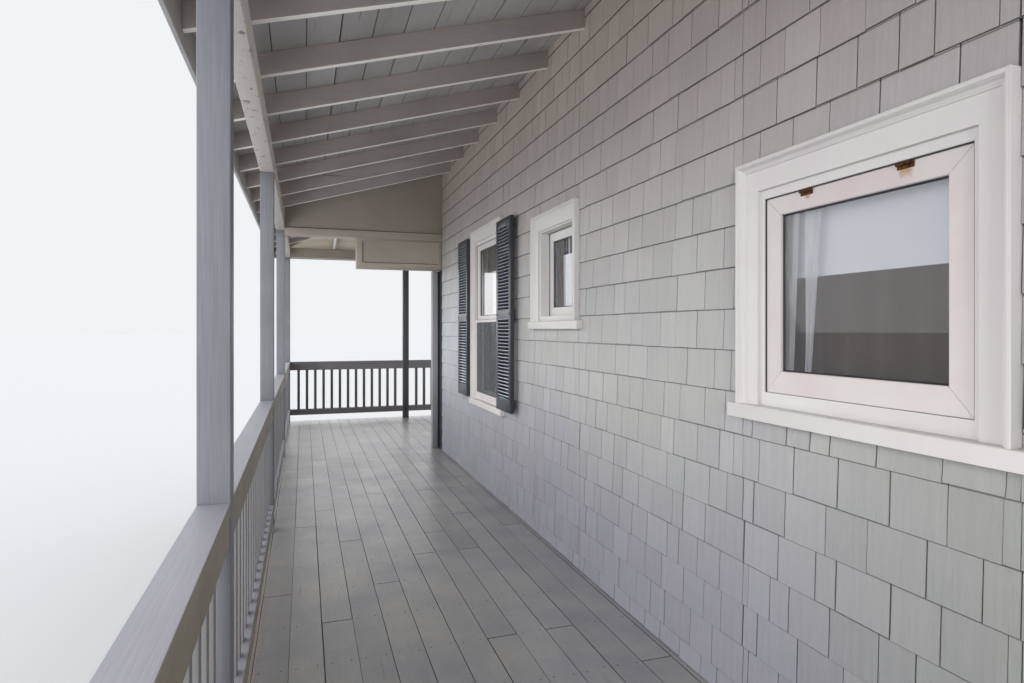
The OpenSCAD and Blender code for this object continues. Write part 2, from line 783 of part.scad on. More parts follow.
module blades(low, high) {
    n = floor((high - low) / louvre_pitch);
    for (i = [0:n - 1])
        translate([shutter_stile - 2, shutter_t / 2, low + (i + 0.5) * (high - low) / n])
            rotate([-blade_tilt, 0, 0]) translate([0, -blade_w / 2, -blade_t / 2])
                cube([shutter_w - 2 * shutter_stile + 4, blade_w, blade_t]);
}

module shutter() {
    f1 = [shutter_low + shutter_foot, shutter_mid_low];
    f2 = [shutter_mid_low + shutter_mid, shutter_high - shutter_head];
    difference() {
        translate([0, 0, shutter_low]) cube([shutter_w, shutter_t, shutter_high - shutter_low]);
        translate([0, shutter_t + eps, 0]) rotate([90, 0, 0]) linear_extrude(shutter_t + 2 * eps) {
            shutter_field(f1[0], f1[1], 0);
            shutter_field(f2[0], f2[1], arch_rise);
        }
    }
    intersection() {
        union() {
            blades(f1[0], f1[1]);
            blades(f2[0], f2[1]);
        }
        translate([0, 0, shutter_low])
            cube([shutter_w, shutter_t, shutter_high - shutter_low - shutter_head / 2]);
    }
}

// A pair stands beside the casing, each shutter on a strip behind its inner stile
module shutter_pair() {
    inner = casing_span(HUNG) / 2 + shutter_gap;
    for (s = [0, 1]) mirror([s, 0, 0]) translate([inner, -shutter_stand, 0]) {
        translate([0, -shutter_t, 0]) shutter();
        translate([0, -eps, shutter_low])
            cube([strip_w, shutter_stand + eps, shutter_high - shutter_low]);
    }
}

module side_shutters() color(DARK) on_side(hung_at) shutter_pair();
module front_shutters() color(DARK) on_front(front_hung_at) shutter_pair();

placed() side_foundation();
placed() front_foundation();
placed() deck_piers();
placed() deck_posts();
placed() deck_girders();
placed() rim_boards();
placed() deck_ledgers();
placed() deck_joists();
placed() side_deck();
placed() front_deck();
placed() side_wall();
placed() front_wall();
placed() side_shingles();
placed() front_shingles();
placed() side_posts();
placed() corner_post();
placed() front_posts();
placed() wall_post();
placed() corner_board();
placed() corner_rail();
placed() side_rail_near();
placed() side_rail_middle();
placed() side_rail_far();
placed() front_rail_left();
placed() front_rail_right();
placed() side_beam();
placed() front_beam();
placed() side_rafters();
placed() front_rafters();
placed() hip_rafter();
placed() side_roof_boards();
placed() front_roof_boards();
placed() side_roofing();
placed() front_roofing();
placed() fascia();
placed() gable_panel();
placed() panel_band();
placed() boxed_panel();
placed() awning_frame();
placed() awning_sash();
placed() awning_hinges();
placed() small_frame();
placed() small_sash();
placed() side_hung_frame();
placed() side_hung_sashes();
placed() front_hung_frame();
placed() front_hung_sashes();
placed() window_screens();
placed() screen_cloth();
placed() window_sills();
placed() window_glass();
placed() side_shutters();
placed() front_shutters();
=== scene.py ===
# %% [markdown]
# # The covered porch corner of a shingled beach house
# The real object is carpentry: painted lumber, sawn cedar shingles, a louvred
# pair of shutters at each tall window, and a lean-to roof whose framing is left
# open to view. The CAD frame gives every main form its exact size. This lesson
# dresses it. What is laid one by one on site, such as boards, shingles and
# balusters, is laid one by one here too, by one Geometry Nodes tree.

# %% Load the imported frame
import json
import random
from functools import partial
from math import atan2, ceil, cos, degrees, hypot, pi, radians, sin, tan

import bmesh
import bpy
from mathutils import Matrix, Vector


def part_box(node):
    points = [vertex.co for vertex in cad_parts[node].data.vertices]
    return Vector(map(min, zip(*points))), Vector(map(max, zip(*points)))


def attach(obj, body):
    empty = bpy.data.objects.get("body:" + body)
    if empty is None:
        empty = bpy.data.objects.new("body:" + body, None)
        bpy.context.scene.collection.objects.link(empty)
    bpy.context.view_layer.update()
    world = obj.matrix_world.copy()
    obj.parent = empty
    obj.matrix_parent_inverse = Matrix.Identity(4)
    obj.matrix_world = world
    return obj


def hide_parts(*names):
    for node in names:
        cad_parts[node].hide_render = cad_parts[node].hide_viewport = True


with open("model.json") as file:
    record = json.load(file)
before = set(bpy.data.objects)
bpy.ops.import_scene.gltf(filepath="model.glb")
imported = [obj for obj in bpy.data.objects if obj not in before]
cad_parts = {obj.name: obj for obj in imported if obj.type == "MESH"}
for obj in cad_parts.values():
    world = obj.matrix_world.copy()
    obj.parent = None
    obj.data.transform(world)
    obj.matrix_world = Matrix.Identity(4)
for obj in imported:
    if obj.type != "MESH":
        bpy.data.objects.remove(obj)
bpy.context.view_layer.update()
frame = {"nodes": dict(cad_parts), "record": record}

print("frame loaded:", len(frame["nodes"]), "nodes")

# %% [markdown]
# Everything is measured from three planes that the carpenter would snap a line
# on: the outer face of the side wall's shingles, the outer face of the front
# wall's shingles, and the top of the deck. They are read from the frame.

# %% The three lines that everything is measured from
WALL_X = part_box("side_shingles")[0][0]
CORNER_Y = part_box("front_shingles")[1][1]
DECK_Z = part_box("side_deck")[1][2]
MM = 0.001
QUARTER = radians(90)
SIDE, FRONT = True, False


def place(x, y, z):
    """Millimetres from the house corner and the deck's top, as a point in the frame."""
    return Vector((WALL_X + x * MM, CORNER_Y + y * MM, DECK_Z + z * MM))


def wall_span(node, side):
    """A node's two far corners, as millimetres along its wall and over the deck."""
    axis, base = (1, CORNER_Y) if side else (0, WALL_X)
    return [((corner[axis] - base) / MM, (corner[2] - DECK_Z) / MM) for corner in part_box(node)]


def link(name, data):
    """Puts a mesh, a lamp or a camera into the scene."""
    obj = bpy.data.objects.new(name, data)
    bpy.context.collection.objects.link(obj)
    return obj


print("house corner at", [round(v, 4) for v in place(0, 0, 0)])

# %% [markdown]
# The photographer stood on the porch, 1.53 m from the wall, and held the camera
# level at 1.41 m. A level camera keeps posts upright, and a small shift moves
# the horizon a little above the middle of the picture, as in the photograph.

# %% Camera at the photographer's place
FOCAL_PX, PICTURE_W, PICTURE_H, HORIZON_PX = 634.4, 1024, 683, 329.27
EYE, TURNED = (-1528, -7528, 1410), -18.158

lens = bpy.data.cameras.new("camera")
lens.sensor_width = 36.0
lens.lens = FOCAL_PX / PICTURE_W * lens.sensor_width
lens.shift_y = (HORIZON_PX - PICTURE_H / 2) / PICTURE_W
lens.clip_end = 900.0
camera = link("camera", lens)
camera.location = place(*EYE)
camera.rotation_euler = (QUARTER, 0, radians(TURNED))
bpy.context.scene.camera = camera
print("lens", round(lens.lens, 2), "mm")

# %% [markdown]
# A material is a small tree of nodes. One function adds a node with its
# settings and its links, and one turns the hex colours that a paint card would
# give into the linear light that the renderer works in. Two more do what each
# recipe needs: colours that fade in over one another, and the closing links.

# %% Helpers for materials
def linear(colour):
    parts = [int(colour[i:i + 2], 16) / 255 for i in (1, 3, 5)]
    return tuple(c / 12.92 if c <= 0.04045 else ((c + 0.055) / 1.055) ** 2.4 for c in parts) + (1.0,)


def feed(node, inputs):
    """Inputs are values, hex colours, or the sockets that link in, by name or in order."""
    for key, value in inputs.items() if isinstance(inputs, dict) else enumerate(inputs):
        if isinstance(value, bpy.types.NodeSocket):
            node.id_data.links.new(value, node.inputs[key])
        else:
            hex_colour = isinstance(value, str) and value.startswith("#")
            node.inputs[key].default_value = linear(value) if hex_colour else value


def put(tree, kind, inputs=(), out=0, **settings):
    """Adds a node, its operation named after its kind. Returns one of its outputs, or it all."""
    kind, _, operation = kind.partition(" ")
    node = tree.nodes.new(kind if "Node" in kind else "ShaderNode" + kind)
    if operation:
        node.operation = operation
    for name, value in settings.items():
        setattr(node, name, value)
    feed(node, inputs)
    return node if out is None else node.outputs[out]


def start(name):
    """A new material, what adds a node to it, and the object's own coordinates."""
    material = bpy.data.materials.new(name)
    material.use_nodes = True
    add = partial(put, material.node_tree)
    return material, add, add("TexCoord", out="Object")


def coats(add, paint, *layers):
    """Lays colours over a paint. A layer is (colour, value, begin, end, most): it begins to
    show where the value is at its begin, and most of it shows from its end on."""
    for colour, value, begin, end, *most in layers:
        amount = add("MapRange", [value, begin, end, 0, *(most or [1])])
        paint = add("Mix", {0: amount, 6: paint, 7: colour}, 2, data_type="RGBA")
    return paint


def shader_of(material):
    return material.node_tree.nodes["Principled BSDF"]


def dress(material, colour, roughness, height, strength, distance, **more):
    """Feeds a material's shader its colour, roughness and relief, and more by name."""
    bump = put(material.node_tree, "Bump", {"Height": height, "Strength": strength, "Distance": distance})
    more = {key.replace("_", " "): value for key, value in more.items()}
    feed(shader_of(material), {"Base Color": colour, "Roughness": roughness, "Normal": bump, **more})
    return material


print("helpers ready")

# %% [markdown]
# ** Painted lumber.** Nearly all of the porch is softwood under old alkyd paint:
# satin, a little uneven in tone, with the grain and brush marks standing
# through it, dirt in the hollows and small chips down to grey wood. So one
# recipe makes every painted finish, with the paint's two tones, the way the
# grain runs, how much has chipped, and how smooth it was brushed out. It also
# paints light and shade onto faces by the way they look: painted shade or a
# painted highlight on undersides, a painted sky reflection on tops, and painted
# shade on the sides of deck boards in their seams. Grain lines are 4 mm apart
# across the board and hand-long along it. Each board's own tone comes from the
# attribute `shade`, which the laying tree writes.

# %% Painted lumber
ALONG_X, ALONG_Y, ALONG_Z = (4, 250, 250), (250, 4, 250), (250, 250, 4)


def painted(name, colour, shade, grain, chips=0.0, chip="#77706a", gloss=0.5, relief=0.35, variety=0.05,
            patch=1.6, streaks=(0.93, 1.05), under=None, over=None, spots=False, edges=None):
    """Under, over and edges paint light and shade onto the faces that look down, up, and a little off up."""
    material, add, where = start(name)
    board, hue = [add("Attribute", out="Fac", attribute_name=key) for key in ("shade", "hue")]
    lines = add("Mapping", {"Vector": where, "Scale": grain})
    fibre = add("TexNoise", {"Vector": lines, "Scale": 1.0, "Detail": 4.0, "Roughness": 0.6})
    cloud = add("TexNoise", {"Vector": where, "Scale": patch, "Detail": 5.0, "Roughness": 0.62})
    paint = coats(add, colour, (shade, cloud, 0.32, 0.68))
    up = add("SeparateXYZ", [add("NewGeometry", out="True Normal")], 2)
    for painted_light_tint, begin, end in ((under, -0.6, -0.8), (over, 0.15, 0.45), (edges, 0.93, 0.75)):
        if painted_light_tint:
            paint = coats(add, paint, (painted_light_tint, up, begin, end))
    streak = add("MapRange", [fibre, 0.3, 0.7, *streaks])
    value = add("Math MULTIPLY_ADD", [board, variety, streak])
    tilt = add("Math MULTIPLY_ADD", [hue, 0.012, 0.5])
    paint = add("HueSaturation", {"Hue": tilt, "Value": value, "Color": paint})
    where, scale = (where, 17.0) if spots else (lines, 0.16)
    specks = add("TexNoise", {"Vector": where, "Scale": scale, "Detail": 8.0, "Roughness": 0.75})
    edge = 0.70 - 0.12 * chips
    bare = add("MapRange", [specks, edge, edge + 0.015])
    if chips:
        paint = coats(add, paint, (chip, bare, 0, 1))
    sheen = add("MapRange", [cloud, 0, 1, gloss - 0.07, gloss + 0.1])
    height = add("Math MULTIPLY_ADD", [bare, -0.8 if chips else 0.0, fibre])
    return dress(material, paint, sheen, height, relief, 0.0012)


post_paint = painted(
    "post_paint_satin_grey", "#8c8e94", "#7e8086", ALONG_Z, chips=0.25, relief=0.5, streaks=(0.86, 1.1))
wall_post_paint = painted("post_paint_light_grey", "#a8aaae", "#999b9f", ALONG_Z, chips=0.3)
# Painted shade: the front posts, rails and balusters are the same paint as the others, painted darker for the
# shade on their faces that look back along the porch.
shaded_end_post_paint = painted("post_paint_grey_painted_shade", "#4b4d51", "#434549", ALONG_Z, chips=0.25)
shaded_end_rail_paint = painted("rail_paint_grey_across_painted_shade", "#78767a", "#6b696c", ALONG_X, chips=0.5)
shaded_end_baluster_paint = painted("baluster_paint_grey_painted_shade", "#605f63", "#565558", ALONG_Z, chips=0.2)
# Painted sky reflection: the rail tops are painted a paler blue-grey than their sides.
rail_paint = painted(
    "rail_paint_worn_grey", "#a89e8e", "#988e7e", ALONG_Y, chips=0.5, over="#a3a3ad", patch=2.6)
cross_rail_paint = painted("rail_paint_worn_grey_across", "#a3a2a5", "#918e8d", ALONG_X, chips=0.5)
baluster_paint = painted("baluster_paint_grey", "#9c9b9d", "#8f8d8d", ALONG_Z, chips=0.2)
# Painted shade: the beams' undersides are painted darker than their sides.
beam_paint = painted(
    "beam_paint_chipped_grey", "#f9f3ea", "#ebe4d9", ALONG_Y, chips=0.9, under="#bdb7b2", spots=True)
cross_beam_paint = painted(
    "beam_paint_chipped_grey_across", "#aba295", "#9b9286", ALONG_X, chips=0.4, under="#b5ada0", spots=True)
# Painted highlight: the rafters' bottom faces are painted near white, for the light that comes up from the
# deck.
rafter_paint, cross_rafter_paint = [
    painted("rafter_paint_taupe" + end, "#c3bbb6", "#b0a8a3", grain, chips=0.45, under="#faf8f2")
    for end, grain in (("", ALONG_X), ("_across", ALONG_Y))]
ceiling_paint = painted("roof_board_paint_grey", "#b6b5b4", "#a09e9c", ALONG_Y, chips=0.7, variety=0.09)
cross_ceiling_paint = painted(
    "roof_board_paint_cream", "#efe6d2", "#e0d6c0", ALONG_X, chips=0.5, variety=0.07)
panel_paint = painted("panel_paint_taupe", "#b3a99f", "#a69d92", ALONG_X, relief=0.15)
band_paint = painted("band_paint_taupe_light", "#b8aea4", "#aca298", ALONG_X, relief=0.15)
# Painted shade and dirt: the sides of the deck boards, down in the seams, are painted dark.
deck_paint = painted(
    "deck_paint_porch_grey", "#a9a8a4", "#92929a", ALONG_Y, chips=0.45, chip="#77736f", gloss=0.31,
    edges="#454240", variety=0.11, patch=2.8, streaks=(0.9, 1.06))
trim_paint = painted(
    "trim_paint_white", "#d7d8d4", "#d4cdce", ALONG_Z, gloss=0.4, relief=0.05, streaks=(0.985, 1.01))
sash_paint = painted(
    "sash_paint_pinkish_white", "#d5d2cd", "#d1c5c6", ALONG_Z, gloss=0.38, relief=0.05, patch=2.4,
    streaks=(0.985, 1.01))
# Painted shade: this dark paint stands for shadowed gaps, beside the wall post, in the end panel's open
# seams, and round the glass and the sashes.
gap_shade_paint = painted("dark_paint_painted_gap_shade", "#3d3f41", "#343638", ALONG_Z)
# Painted sky reflection and dust: the louvres' up-facing faces are painted pale blue.
shutter_paint = painted(
    "shutter_paint_blue_black", "#393c42", "#2f3238", ALONG_Z, chips=0.1, chip="#5d6066", gloss=0.3,
    relief=0.15, over="#b9c7d6")
print("painted finishes:", len(bpy.data.materials))

# %% Rust that runs from the hinges
def stain_and_light_patch(material, spot, colour, reach):
    """Mixes a colour into a finish round a place, for rust and stains and for a patch of painted highlight.
    Reach is its half size in metres.
    """
    add = partial(put, material.node_tree)
    paint = shader_of(material).inputs["Base Color"].links[0].from_socket
    where = add("TexCoord", out="Object")
    ragged = add("TexNoise", {"Vector": where, "Scale": 70.0, "Detail": 4.0})
    away = add("VectorMath SUBTRACT", [where, spot])
    scaled = add("VectorMath MULTIPLY", [away, [1 / r for r in reach]])
    far = add("VectorMath LENGTH", [scaled], "Value")
    near = add("Math MULTIPLY_ADD", [ragged, 1.2, far])
    feed(shader_of(material), {"Base Color": coats(add, paint, (colour, near, 1.35, 0.75, 0.75))})


hinge_low, hinge_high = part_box("awning_hinges")
for y, wide, tall in ((hinge_low[1] + 0.026, 0.036, 0.032), (hinge_high[1] - 0.026, 0.02, 0.014)):
    stain_and_light_patch(sash_paint, (hinge_low[0] + 0.01, y, hinge_low[2] - 0.004), "#a5762c", (0.05, wide, tall))
print("rust at both hinges")

# %% [markdown]
# ** Painted shingles.** Sawn red cedar under two coats of warm grey. The saw
# leaves fine upright striations, the paint is thinner on some shingles than on
# others, and wide patches lean to lavender or to green. Light and shade are
# painted on the wall as well: a warm painted shade high up under the roof, a
# lavender painted shade near the deck, a paler painted highlight by the house
# corner, a green-grey painted shade low down at the near end, and a painted
# shadow under the butts of each course.

# %% Painted shingles
def shingle_finish(name, colour, shade, variety, hue_swing, weathered, courses=None):
    """Courses, on a wall, are the first butt's height and the exposure, in metres."""
    material, add, where = start(name)
    piece, hue = [add("Attribute", out="Fac", attribute_name=key) for key in ("shade", "hue")]
    _, along, up = add("SeparateXYZ", [where], None).outputs
    saw_marks = add("Mapping", {"Vector": where, "Scale": (330, 330, 9)})
    striae = add("TexNoise", {"Vector": saw_marks, "Scale": 1.0, "Detail": 5.0, "Roughness": 0.65})
    wide = add("Mapping", {"Vector": where, "Scale": (60, 60, 2.5)})
    cups = add("TexNoise", {"Vector": wide, "Scale": 1.0, "Detail": 2.0})
    cloud = add("TexNoise", {"Vector": where, "Scale": 1.1, "Detail": 4.0})
    paint = coats(add, colour, (shade, cloud, 0.35, 0.65))
    if courses:
        near = add("MapRange", [along, CORNER_Y - 5.7, CORNER_Y - 6.6])
        low = add("MapRange", [up, DECK_Z + 1.6, DECK_Z + 1.0, 0, 0.8])
        # Painted light: paler towards the house corner, darker and warmer high under the roof, darker and
        # lavender near the deck, and darker and greener low at the near end.
        paint = coats(
            add, paint, ("#bcc3c8", along, CORNER_Y - 2.6, CORNER_Y - 0.4, 0.85),
            ("#bcb2aa", up, DECK_Z + 1.5, DECK_Z + 2.9), ("#9c9ca5", up, DECK_Z + 1.15, DECK_Z + 0.3),
            ("#989a94", add("Math MULTIPLY", [near, low]), 0, 1))
    cast = coats(add, "#dfe6e0", ("#eddfdf", hue, -1, 1))
    paint = add("Mix", {0: hue_swing, 6: paint, 7: cast}, 2, data_type="RGBA", blend_type="MULTIPLY")
    flutes = add("Math MULTIPLY_ADD", [cups, 0.9, striae])
    grain = add("MapRange", [flutes, 0.65, 1.25, 1 - weathered, 1 + weathered * 0.6])
    value = add("Math MULTIPLY_ADD", [piece, variety, grain])
    paint = add("HueSaturation", {"Value": value, "Color": paint})
    if courses:
        first, step = courses
        # Painted shadow: a dark band at the top of each course's face, under the butts above, and painted
        # shade on the butts' undersides.
        within = add("Math FRACT", [add("Math MULTIPLY_ADD", [up, 1 / step, -first / step])])
        line = add("MapRange", [within, 0.966, 0.98, 0, 0.66])
        down = add("SeparateXYZ", [add("NewGeometry", out="True Normal")], 2)
        butt = add("MapRange", [down, -0.4, -0.7, 0, 0.74])
        paint = coats(add, paint, ("#363433", add("Math MAXIMUM", [line, butt]), 0, 1))
    return dress(material, paint, 0.48, flutes, 0.5, 0.002)


COURSE, FIRST, BUTT, THINNING = 155.5, 89.0, 16.0, 0.42
shingle_paint = shingle_finish(
    "shingle_paint_warm_grey", "#b3b4b0", "#adabb1", 0.055, 0.12, 0.07, (DECK_Z + FIRST * MM, COURSE * MM))
roof_shingle = shingle_finish("roof_shingle_weathered_cedar", "#989087", "#7f786f", 0.16, 0.9, 0.22)
print("shingle finishes made")

# %% [markdown]
# **Bare materials.** Poured concrete keeps the marks of its form boards and
# small air holes. Treated framing lumber weathers to a grey brown with raised
# grain. The wall inside is skim-coated plaster, and building paper covers the
# boards outside it. The hinges are rusty iron, and the nails are galvanised.

# %% Concrete
concrete, add, where = start("poured_concrete")
cloud = add("TexNoise", {"Vector": where, "Scale": 2.3, "Detail": 8.0, "Roughness": 0.6})
grit = add("TexNoise", {"Vector": where, "Scale": 180.0, "Detail": 3.0})
holes = add("TexVoronoi", {"Vector": where, "Scale": 22.0})
lift = add("Math MODULO", [add("SeparateXYZ", [where], 2), 0.19])
seam = add("MapRange", [lift, 0.0, 0.006])
pitted = add("Math ADD", [add("MapRange", [holes, 0.05, 0.10]), seam])
relief = add("Math MULTIPLY_ADD", [grit, 0.35, pitted])
colour = coats(add, "#a7a49d", ("#8d8a84", cloud, 0.3, 0.7), ("#7d7a75", seam, 1, 0))
dress(concrete, colour, 0.85, relief, 0.5, 0.003)
print(concrete.name)

# %% Framing lumber and wall lining
def framing_finish(name, grain):
    material, add, where = start(name)
    board = add("Attribute", out="Fac", attribute_name="shade")
    lines = add("Mapping", {"Vector": where, "Scale": grain})
    fibre = add("TexNoise", {
        "Vector": lines, "Scale": 0.5, "Detail": 7.0, "Roughness": 0.65, "Distortion": 0.6})
    cloud = add("TexNoise", {"Vector": where, "Scale": 2.0, "Detail": 3.0})
    wood = coats(add, "#9a8a70", ("#7c6d58", fibre, 0.35, 0.65), ("#8b8880", cloud, 0.35, 0.65, 0.7))
    value = add("Math MULTIPLY_ADD", [board, 0.1, 1.0])
    wood = add("HueSaturation", {"Value": value, "Color": wood})
    return dress(material, wood, 0.75, fibre, 0.5, 0.0015)


framing, cross_framing, upright_framing = [
    framing_finish("treated_framing_lumber" + end, grain)
    for end, grain in (("", ALONG_Y), ("_across", ALONG_X), ("_upright", ALONG_Z))]

wall_lining, add, where = start("plaster_inside_building_paper_outside")
trowel = add("TexNoise", {"Vector": where, "Scale": 5.0, "Detail": 6.0, "Roughness": 0.55})
x, y, _ = add("SeparateXYZ", [where], None).outputs
side_out = add("Math LESS_THAN", [x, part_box("side_wall")[0][0] + 0.004])
front_out = add("Math GREATER_THAN", [y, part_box("front_wall")[1][1] - 0.004])
outside = add("Math MAXIMUM", [side_out, front_out])
# The building paper outside is near black: partly its own colour, partly painted shade for the shingle
# joints, where the course beneath lies in shadow.
colour = coats(add, "#f0eeea", ("#e7e4de", trowel, 0.3, 0.7), ("#191716", outside, 0, 1))
dress(wall_lining, colour, 0.8, trowel, 0.25, 0.004)
print("framing and lining made")

# %% [markdown]
# ** Glass, iron and cloth.** Window glass is thin float glass, clear and smooth,
# with a slow wave in it. The cloth behind it is linen: grey at most windows,
# and at the awning window a pale blind, a dark brown curtain and sheer drapes;
# that blind and that curtain are painted reflections in the glass. Thread and
# slubs are drawn on the cloth, and the sheer cloth lets light by.

# %% Glass, iron and cloth
def iron_finish(name, clean, rust, metallic):
    material, add, where = start(name)
    spots = add("TexNoise", {"Vector": where, "Scale": 120.0, "Detail": 6.0})
    colour = coats(add, clean, (rust, spots, 0.42, 0.58))
    return dress(material, colour, 0.55, spots, 0.4, 0.0006, Metallic=metallic)


def linen_finish(name, light, dark, sheer=0.0):
    material, add, where = start(name)
    # Threads are drawn 2 mm apart, coarser than the real weave, so that they show.
    warp = add("TexWave", {"Vector": where, "Scale": 80.0, "Distortion": 0.6}, "Fac", bands_direction="Z")
    slub = add("TexNoise", {"Vector": where, "Scale": 25.0, "Detail": 5.0})
    cloth = coats(add, light, (dark, slub, 0, 1))
    return dress(material, cloth, 0.9, warp, 0.2, 0.0005, Sheen_Weight=0.2, Alpha=1 - sheer)


glass, add, where = start("float_glass")
wave = add("TexNoise", {"Vector": where, "Scale": 3.0, "Detail": 1.0})
dress(glass, "#f5f6f8", 0.01, wave, 0.012, 0.01, Transmission_Weight=1.0, IOR=1.4)
insect_mesh, _, _ = start("insect_mesh_grey")
feed(shader_of(insect_mesh), {"Base Color": "#6c6e71", "Roughness": 0.8, "Alpha": 0.45})
hinge_iron = iron_finish("hinge_iron_rusted", "#3a2315", "#6d431c", 0.6)
nail_iron = iron_finish("nail_galvanised", "#57585a", "#46423f", 0.7)
linen = linen_finish("linen_curtain_grey", "#66676b", "#56575b")
# Painted reflection: this dark cloth stands for a dark roof mirrored in the awning window's lower glass.
dark_reflection_linen = linen_finish("linen_curtain_dark_painted_reflection", "#594b43", "#4a3d36")
pale_linen = linen_finish("linen_drape_pale", "#f6f6f8", "#ebecee", 0.4)
# At the awning window this pale cloth is a painted reflection of sky in the upper glass.
blind_cloth = linen_finish("blind_cloth_blue_grey", "#f8fafe", "#f1f4fa")
print("all finishes:", len(bpy.data.materials))

# %% [markdown]
# ## Laying pieces
# On site, one carpenter lays hundreds of equal pieces along a line, none quite
# straight. One Geometry Nodes tree does the same. It takes a mesh whose points
# carry a size and a turn, puts a copy of one piece on each, turns it by a
# small random amount, writes a random `shade` and `hue` on it, and ends in
# Realize Instances and Set Material.

# %% The laying tree
LAYING = bpy.data.node_groups.new("lay_pieces", "GeometryNodeTree")
for name, kind in (("Geometry", "Geometry"), ("Piece", "Object"), ("Finish", "Material"),
                   ("Unevenness", "Vector"), ("Seed", "Int")):
    LAYING.interface.new_socket(name, in_out="INPUT", socket_type="NodeSocket" + kind)
LAYING.interface.new_socket("Geometry", in_out="OUTPUT", socket_type="NodeSocketGeometry")
add = partial(put, LAYING)
given = add("NodeGroupInput", out=None).outputs
size, turn = [add("GeometryNodeInputNamedAttribute", {"Name": key}, data_type="FLOAT_VECTOR")
              for key in ("size", "turn")]
least = add("VectorMath SCALE", {0: given["Unevenness"], "Scale": -1.0})
wobble = add("FunctionNodeRandomValue", {0: least, 1: given["Unevenness"], "Seed": given["Seed"]},
             data_type="FLOAT_VECTOR")
rotation = add("FunctionNodeEulerToRotation", [add("VectorMath ADD", [turn, wobble])])
piece = add("GeometryNodeObjectInfo", {"Object": given["Piece"]}, "Geometry")
laid = add("GeometryNodeInstanceOnPoints", {
    "Points": given["Geometry"], "Instance": piece, "Rotation": rotation, "Scale": size})
for name, step in (("shade", 1.0), ("hue", 2.0)):
    seed = add("Math ADD", [given["Seed"], step])
    number = add("FunctionNodeRandomValue", {2: -1.0, 3: 1.0, "Seed": seed}, 1, data_type="FLOAT")
    laid = add("GeometryNodeStoreNamedAttribute", {"Geometry": laid, "Name": name, "Value": number},
               data_type="FLOAT", domain="INSTANCE")
real = add("GeometryNodeRealizeInstances", [laid])
done = add("GeometryNodeSetMaterial", {"Geometry": real, "Material": given["Finish"]})
add("NodeGroupOutput", [done], None)
print("laying tree:", len(LAYING.nodes), "nodes")


# %% Lay pieces with the tree
def mesh_from(bm, name):
    mesh = bpy.data.meshes.new(name)
    bm.to_mesh(mesh)
    bm.free()
    return mesh


def finish_piece(obj, slot, *nodes):
    """Tells the frame what the piece rides on and what it stands for. The slot is not used."""
    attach(obj, "root")
    if nodes:
        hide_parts(*nodes)
    print(obj.name, len(obj.data.polygons), "faces")


def saw(mesh, cuts):
    """Saws a mesh off on planes, each a point and a normal, and closes the cut pieces."""
    bm = bmesh.new()
    bm.from_mesh(mesh)
    for point, normal in cuts:
        done = bmesh.ops.bisect_plane(
            bm, geom=bm.verts[:] + bm.edges[:] + bm.faces[:], dist=1e-6, plane_co=point, plane_no=normal,
            clear_outer=True)
        edges = [e for e in done["geom_cut"] if isinstance(e, bmesh.types.BMEdge)]
        bmesh.ops.holes_fill(bm, edges=edges, sides=0)
    bm.to_mesh(mesh)
    bm.free()


def lay(name, piece, places, finish, slot, seed, nodes=(), unevenness=(0, 0, 0), cuts=()):
    """Places are (point, size, turn) in metres and radians. Unevenness is in degrees."""
    dots = bpy.data.meshes.new(name + "_points")
    dots.from_pydata([spot[0] for spot in places], [], [])
    for index, key in enumerate(("size", "turn"), 1):
        values = dots.attributes.new(key, "FLOAT_VECTOR", "POINT")
        values.data.foreach_set("vector", [v for spot in places for v in spot[index]])
    obj = link(name, dots)
    layer = obj.modifiers.new("lay", "NODES")
    layer.node_group = LAYING
    given = {"Piece": piece, "Finish": finish, "Seed": seed,
             "Unevenness": tuple(radians(v) for v in unevenness)}
    for item in LAYING.interface.items_tree:
        if item.name in given:
            layer[item.identifier] = given[item.name]
    graph = bpy.context.evaluated_depsgraph_get()
    mesh = bpy.data.meshes.new_from_object(
        obj.evaluated_get(graph), preserve_all_data_layers=True, depsgraph=graph)
    obj.modifiers.remove(layer)
    obj.data = mesh
    for key in ("size", "turn"):
        if key in mesh.attributes:
            mesh.attributes.remove(mesh.attributes[key])
    if cuts:
        saw(mesh, cuts)
    finish_piece(obj, slot, *nodes)


# %% [markdown]
# The pieces to lay are few: a board with eased edges, a square bar, a tapered
# shingle and a nail head. Each is drawn once at its usual size, so that its
# edges come out right, and then brought to unit size for the tree to stretch.

# %% Boards, bars, shingles and nails
def stock(name, size, edge, segments=1, taper=1.0):
    """A box with eased edges, on end at the origin, at unit size. Taper thins its top."""
    bm = bmesh.new()
    bmesh.ops.create_cube(bm, size=1.0)
    bmesh.ops.scale(bm, vec=size, verts=bm.verts)
    bmesh.ops.bevel(bm, geom=bm.edges[:], offset=edge, segments=segments, affect="EDGES", profile=0.6)
    bmesh.ops.scale(bm, vec=[1 / s for s in size], verts=bm.verts)
    for v in bm.verts:
        v.co.z += 0.5
        v.co.y -= 0.5
        v.co.y *= 1 + (taper - 1) * v.co.z
    obj = link(name, mesh_from(bm, name))
    obj.hide_render = obj.hide_viewport = True
    return obj


board_piece = stock("board_piece", (0.14, 0.02, 2.4), 0.003, 2)
deck_piece = stock("deck_piece", (0.14, 0.038, 2.4), 0.0018, 2)
rail_piece = stock("rail_piece", (0.14, 0.038, 2.4), 0.003, 2)
bar_piece = stock("bar_piece", (0.038, 0.038, 0.6), 0.0015)
shingle_piece = stock("shingle_piece", (0.15, 0.016, 0.165), 0.0012, taper=1 - THINNING)
roof_piece = stock("roof_piece", (0.15, 0.024, 0.165), 0.0015, taper=0.35)
bm = bmesh.new()
bmesh.ops.create_cone(bm, cap_ends=True, segments=8, radius1=0.5, radius2=0.38, depth=1.0)
nail_piece = link("nail_head", mesh_from(bm, "nail_head"))
print("stock pieces ready")

